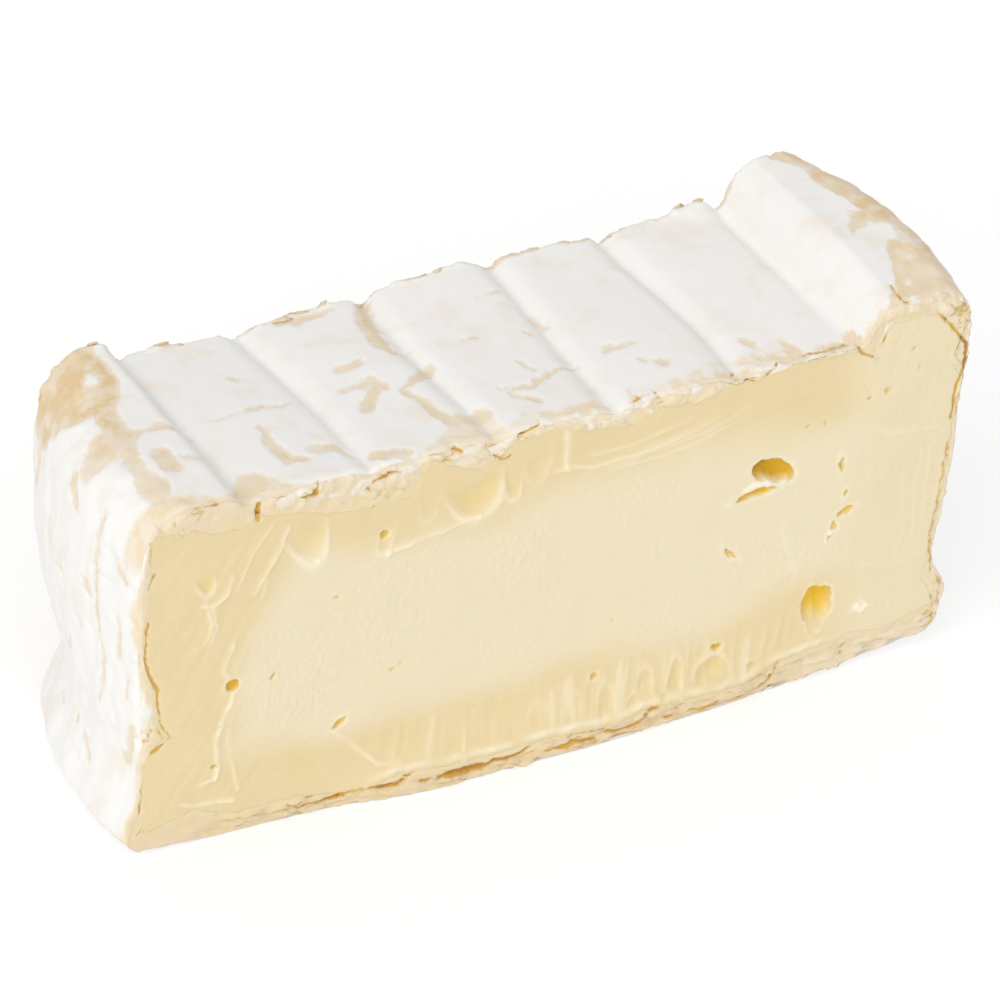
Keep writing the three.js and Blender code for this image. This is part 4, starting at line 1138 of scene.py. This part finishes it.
def buildPaste(name, front):
    which, face = ("front", -1.0) if front else ("back", 1.0)
    columns, rows, seed = [pasteCut[which + w] for w in ("Columns", "Rows", "Seed")]
    u, v = np.meshgrid(np.linspace(0, 1, columns + 1), np.linspace(0, 1, rows + 1))
    u = u if front else u[:, ::-1]
    boxX, boxZ, lipGap, hem = cutBox(u, v, front, pasteCut["overlap"])
    x, z = slabPoint(boxX, np.full_like(u, face * halfDepth), boxZ)
    flat = np.stack([x, np.zeros_like(x), z], -1)
    inCore = smooth(-pasteCut["coreSoft"], pasteCut["coreSoft"], coreField(x, z, front, flat))
    cream = (1 - inCore) * (1 - 0.65 * smooth(60, 74, x))
    inset = np.minimum(np.minimum(slab["radius"] - np.abs(boxX), slab["height"] - boxZ), boxZ)
    # knife drag: long soft streaks, lying flat in the middle and steeper towards both ends
    sway = 1.5 * grain(flat, 30.0, seed + 1, 1)

    def combed(angle, key):
        c, s = math.cos(angle), math.sin(angle)
        run, across = pasteCut["streakMm"]
        return grain(np.stack([(x * c + z * s) / run, (z * c - x * s + sway) / across, 0 * x], -1), 1.0, key, 2)
    leftward, rightward = smooth(-50, -70, x), smooth(66, 76, x)
    streaks = combed(pasteCut["middleTurn"], seed + 2) * (1 - leftward) * (1 - rightward)
    streaks += combed(pasteCut["leftTurn"], seed + 11) * leftward + combed(pasteCut["rightTurn"], seed + 12) * rightward
    relief = pasteCut["streak"] * streaks * cream * smooth(0.2, 3, lipGap)
    # fine ripples in patches of the chalky middle, soft swells all over
    patch = smooth(-0.25, 0.25, grain(flat, 24.0, seed + 9, 2))
    relief += pasteCut["ripple"] * grain(flat, pasteCut["rippleMm"], seed + 3, 2) * (1 - cream) * (0.15 + 0.85 * patch)
    relief += pasteCut["soft"] * grain(flat, 12.0, seed + 4, 3)
    # upright drags above the foot
    upright = combed(pasteCut["footTurn"], seed + 14) * smooth(21, 14, z) * smooth(-46, -30, x) * smooth(68, 56, x)
    relief += 1.6 * pasteCut["streak"] * upright * smooth(1, 4, lipGap)
    smear = np.clip(0.55 + 0.5 * grain(flat, 16.0, seed + 5, 2) + 0.25 * streaks, 0, 1) * cream
    # the crests of the upright drags are painted pale as a highlight
    pale = np.maximum(0.0, 0.3 * smooth(0.1, 0.6, upright))
    marks = frontMarks if front else backMarks
    relief, gold, pale, jitter = marks(x, z, flat, seed, relief, np.zeros_like(x), pale)
    relief *= smooth(-0.2, 1.6, lipGap)
    # a lip stands along the rind of the foot, painted pale as a highlight
    lip = hump(lipGap - 0.9, 0.75) * smooth(16, 11, z) * smooth(-46, -36, x) * smooth(70, 62, x)
    lip = lip * np.clip(0.55 + 1.1 * grain(flat, 6.0, seed + 15, 2), 0, 1)
    relief += 0.4 * lip
    pale = np.maximum(pale, 0.6 * lip)
    # the border dips under the torn rind
    room = np.clip(hem - lipGap, 0.3, pasteCut["overlap"])
    relief -= np.minimum(pasteCut["tuck"], 0.6 * room) * (1 - smooth(0, 1, hem / (0.8 * room)))
    eyes, phase = (cutMarks["eyes"], 0.4) if front else (drawBackEyes(), 2.2)
    ex, ez, sink, hollowGlow, rim = sinkEyes(x, z, eyes, phase)
    rough = np.clip(0.5 + 1.2 * grain(flat, 1.6, seed + 10, 2), 0, 1)
    pale = np.maximum(pale, 0.3 * rim * rough)
    relief += 0.08 * rim * rough
    crack = np.full_like(x, 9.0)
    if front:
        # torn strands bridge the big eye, pale crumbs stand on the face, cracks run in from the rind
        tatter = 0.35 * grain(flat, 1.5, seed + 13, 2)
        for path, stand in cutMarks["strands"]:
            over = 1 - smooth(-0.25, 0.35, strokeField(x + tatter, z + tatter, [path]))
            ex, ez = mix(ex, x, over), mix(ez, z, over)
            sink = sink * (1 - over) - stand * over * (sink > 0)
            hollowGlow = hollowGlow * (1 - over)
            pale = np.maximum(pale, 0.7 * over)
        crumbs = -strokeField(x + 0.5 * jitter, z + 0.5 * jitter, cutMarks["paleSpots"])
        pale = np.maximum(pale, 0.7 * smooth(-0.5, 0.4, crumbs))
        relief += 0.3 * smooth(-0.6, 0.5, crumbs)
        crack = np.where(lipGap < 2.5, crackField(x, z), 9.0)
        sink = sink + 0.7 * (1 - smooth(-0.6, 0.3, crack))
    relief = relief * (1 - smooth(0, 0.5, sink))
    y = face * (halfDepth + cutSwell(x, z, inset, front) + relief - sink)
    points, faces, cap, corners = closeFace(np.stack([ex, y, ez], -1), face)

    def full(value, rest):
        return np.concatenate([value.ravel(), np.full(len(points) - value.size, rest)])
    # painted golden glow in the eyes, and half the painted glow of the scoops
    hollowGlow = np.clip(np.maximum(hollowGlow, 0.5 * gold), 0, 1)
    values = {"cream": full(cream, 1.0), "hollowGlow": full(hollowGlow, 0.7), "smear": full(smear, 0.5),
              "pale": full(np.clip(pale, 0, 1), 0.0), "crack": full(np.clip(crack, -2, 2), 2.0)}
    makePiece(name, toMetres(points), faces, cap, values, corners, pasteMaterial)


buildPaste("paste_front", True)
buildPaste("paste_back", False)

# dry flakes and crumbs of rind along the cut edges: small uneven balls, flattened and turned, set on the rind
crumbs = {
    "count": 150, "size": (0.2, 0.65), "flat": (0.35, 0.7), "rings": 4, "spokes": 7, "seed": 5,
    "shares": (0.45, 0.2, 0.35),  # of the crumbs on the front edge of the top, the foot and the back edge of the top
    "uneven": 0.42, "narrow": (0.5, 0.95), "sunk": 0.5, "flakeFlat": 0.17,
    "fromCrack": (0.2, 1.5),  # least and most distance from a crack
    # where they may lie: heights on the torn band and outside it and the reach behind the cut; heights on the foot;
    # height and reach at the back edge, for crumbs and for flakes
    "frontTop": (66, 74, 3.5), "frontLow": (1.2, 9), "backTop": (72, 1.6), "flakeEdge": (70, 1.2),
    # larger flakes at the back edge of the top: x, length, and how far the tip stands up
    "backFlakes": [(-76.8, 2.6, 0.5), (-61, 3.6, 0.1), (-57, 2.6, 0.1), (-34, 5.0, 0.1), (-30, 4.6, 0.2),
                   (-25, 3.4, 0.1), (-16, 3.0, 0.4), (-3, 3.4, 0.1), (1.5, 2.6, 0.1), (13, 2.4, 0.1),
                   (31, 2.8, 0.1), (41, 3.0, 0.1), (58, 3.6, 0.2), (63, 2.6, 0.1)],
}


def buildCrumbs():
    rng = np.random.default_rng(crumbs["seed"])
    x, z, outer = rindPoints[..., 0], rindPoints[..., 2], rindZone == 0
    front, broken = rindZone == 1, (rindCrack > crumbs["fromCrack"][0]) & (rindCrack < crumbs["fromCrack"][1])
    bandFrom, topFrom, reach = crumbs["frontTop"]
    frontTop = np.argwhere(broken & (front & (z > bandFrom) | outer & (rindBehind < reach) & (z > topFrom)))
    frontLow = np.argwhere(broken & front & (z > crumbs["frontLow"][0]) & (z < crumbs["frontLow"][1]))
    (backFrom, backReach), (flakeFrom, flakeReach) = crumbs["backTop"], crumbs["flakeEdge"]
    backTop = np.argwhere((outer & (rindBehind > slab["depth"] - backReach) | (rindZone == 2)) & (z > backFrom))
    picks = np.concatenate([group[rng.integers(0, len(group), int(share * crumbs["count"]))]
                            for group, share in zip((frontTop, frontLow, backTop), crumbs["shares"])])
    size = mix(*crumbs["size"], rng.random(len(picks)) ** 2)
    flat = rng.uniform(*crumbs["flat"], len(picks))
    flakeX, length, stand = np.array(crumbs["backFlakes"]).T
    edge = np.argwhere(outer & (rindBehind > slab["depth"] - flakeReach) & (z > flakeFrom))
    spots = edge[np.argmin(np.abs(x[edge[:, 0], edge[:, 1]] - flakeX[:, None]), axis=1)]
    lift = np.concatenate([np.zeros(len(picks)), stand])
    picks, size = np.concatenate([picks, spots]), np.concatenate([size, 0.5 * length])
    flat = np.concatenate([flat, np.full(len(spots), crumbs["flakeFlat"])])
    count, rings, spokes = len(picks), crumbs["rings"], crumbs["spokes"]
    theta = np.linspace(0, np.pi, rings + 2)[1:-1]
    phi = 2 * np.pi * np.arange(spokes) / spokes
    ball = np.stack([np.sin(theta)[:, None] * np.cos(phi), np.sin(theta)[:, None] * np.sin(phi),
                     np.cos(theta)[:, None] * np.ones(spokes)], -1).reshape(-1, 3)
    ball = np.concatenate([ball, [[0, 0, 1], [0, 0, -1]]])
    shape = ball[None] * (1 + crumbs["uneven"] * rng.uniform(-1, 1, (count, len(ball), 1)))
    shape = shape * np.stack([size, size * rng.uniform(*crumbs["narrow"], count), size * flat], -1)[:, None, :]
    turn = rng.uniform(0, 2 * np.pi, count)
    # each crumb's own directions: up from the rind, and two along it
    up = gridNormals(rindPoints)[picks[:, 0], picks[:, 1]]
    side = np.cross(up, np.array([0.31, 0.2, 0.93]))
    side = side / np.linalg.norm(side, axis=1, keepdims=True)
    over = np.cross(up, side)
    lengthwise = side * np.cos(turn)[:, None] + over * np.sin(turn)[:, None]
    crosswise = np.cross(up, lengthwise)
    place = rindPoints[picks[:, 0], picks[:, 1]] + up * (-crumbs["sunk"] * size * flat)[:, None]
    place = place + np.array([0, 0, 1]) * lift[:, None]
    points = (place[:, None, :] + shape[..., :1] * lengthwise[:, None, :] + shape[..., 1:2] * crosswise[:, None, :]
              + shape[..., 2:] * up[:, None, :])
    ring = gridQuads((rings - 1, spokes), (rings, spokes))[:, [0, 3, 2, 1]]
    spoke = np.arange(spokes)
    top = np.stack([spoke, (spoke + 1) % spokes, np.full(spokes, rings * spokes)], -1)
    base = (rings - 1) * spokes
    bottom = np.stack([base + (spoke + 1) % spokes, base + spoke, np.full(spokes, rings * spokes + 1)], -1)
    start = np.arange(count)[:, None, None] * len(ball)
    quads = (ring[None] + start).reshape(-1, 4)
    ends = (np.concatenate([top, bottom])[None] + start).reshape(-1, 3).tolist()
    values = {"tone": np.repeat(rng.uniform(0, 1, count), len(ball))}
    makePiece("rind_crumbs", toMetres(points.reshape(-1, 3)), quads, ends, values, None, crumbMaterial)


buildCrumbs()

# floor, light and camera
stage = {"floor": "#BEBEBE", "floorGlow": 0.5, "floorRoughness": 0.95, "floorShine": 0.1, "floorHalf": 6,
         "floorDrop": 0.0002,
         "sky": 0.69, "key": 1.5, "keyFrom": (-0.6, -0.52, 0.66), "keySpread": 65}


def makeStage():
    mesh = bpy.data.meshes.new("floor")
    half, drop = stage["floorHalf"], stage["floorDrop"]
    corners = [(-half, -half, -drop), (half, -half, -drop), (half, half, -drop), (-half, half, -drop)]
    mesh.from_pydata(corners, [], [(0, 1, 2, 3)])
    material = bpy.data.materials.new("light_table_opal")  # matt opal sheet lit from below, so shadows stay faint
    material.use_nodes = True
    shader = material.node_tree.nodes["Principled BSDF"]
    settings = {"Base Color": linear(stage["floor"]), "Emission Color": (1, 1, 1, 1),
                "Emission Strength": stage["floorGlow"], "Roughness": stage["floorRoughness"],
                "Specular IOR Level": stage["floorShine"]}
    for label, value in settings.items():
        shader.inputs[label].default_value = value
    mesh.materials.append(material)
    floor = bpy.data.objects.new("floor", mesh)
    bpy.context.scene.collection.objects.link(floor)
    world = bpy.data.worlds.new("soft_studio")
    bpy.context.scene.world = world
    world.use_nodes = True
    sky = world.node_tree.nodes["Background"].inputs
    sky["Color"].default_value = (1, 1, 1, 1)
    sky["Strength"].default_value = stage["sky"]
    lamp = bpy.data.lights.new("key", "SUN")  # a wide softbox, front left
    lamp.energy = stage["key"]
    lamp.angle = math.radians(stage["keySpread"])
    holder = bpy.data.objects.new("key", lamp)
    bpy.context.scene.collection.objects.link(holder)
    fx, fy, fz = stage["keyFrom"]
    holder.location = (fx, fy, fz)
    holder.rotation_euler = (math.atan2(math.hypot(fx, fy), fz), 0, math.atan2(fy, fx) + math.pi / 2)
    bpy.context.scene.view_settings.view_transform = "Standard"


# the photograph's viewing place, in metres, with its right, up and back directions
view = {"place": (-0.696528, -1.162018, 0.922747), "right": (0.87353, -0.4837, 0.05463),
        "up": (0.22397, 0.49901, 0.83715), "back": (-0.43219, -0.71904, 0.54423),
        "lens": 288.0, "sensor": 36.0, "clipEnd": 20.0}


def makeCamera():
    data = bpy.data.cameras.new("camera")
    data.lens = view["lens"]
    data.sensor_width = view["sensor"]
    data.clip_end = view["clipEnd"]
    camera = bpy.data.objects.new("camera", data)
    bpy.context.scene.collection.objects.link(camera)
    turn = Matrix((view["right"], view["up"], view["back"])).transposed().to_4x4()
    camera.matrix_world = Matrix.Translation(view["place"]) @ turn
    bpy.context.scene.camera = camera


makeStage()
makeCamera()
print("stage and camera set")
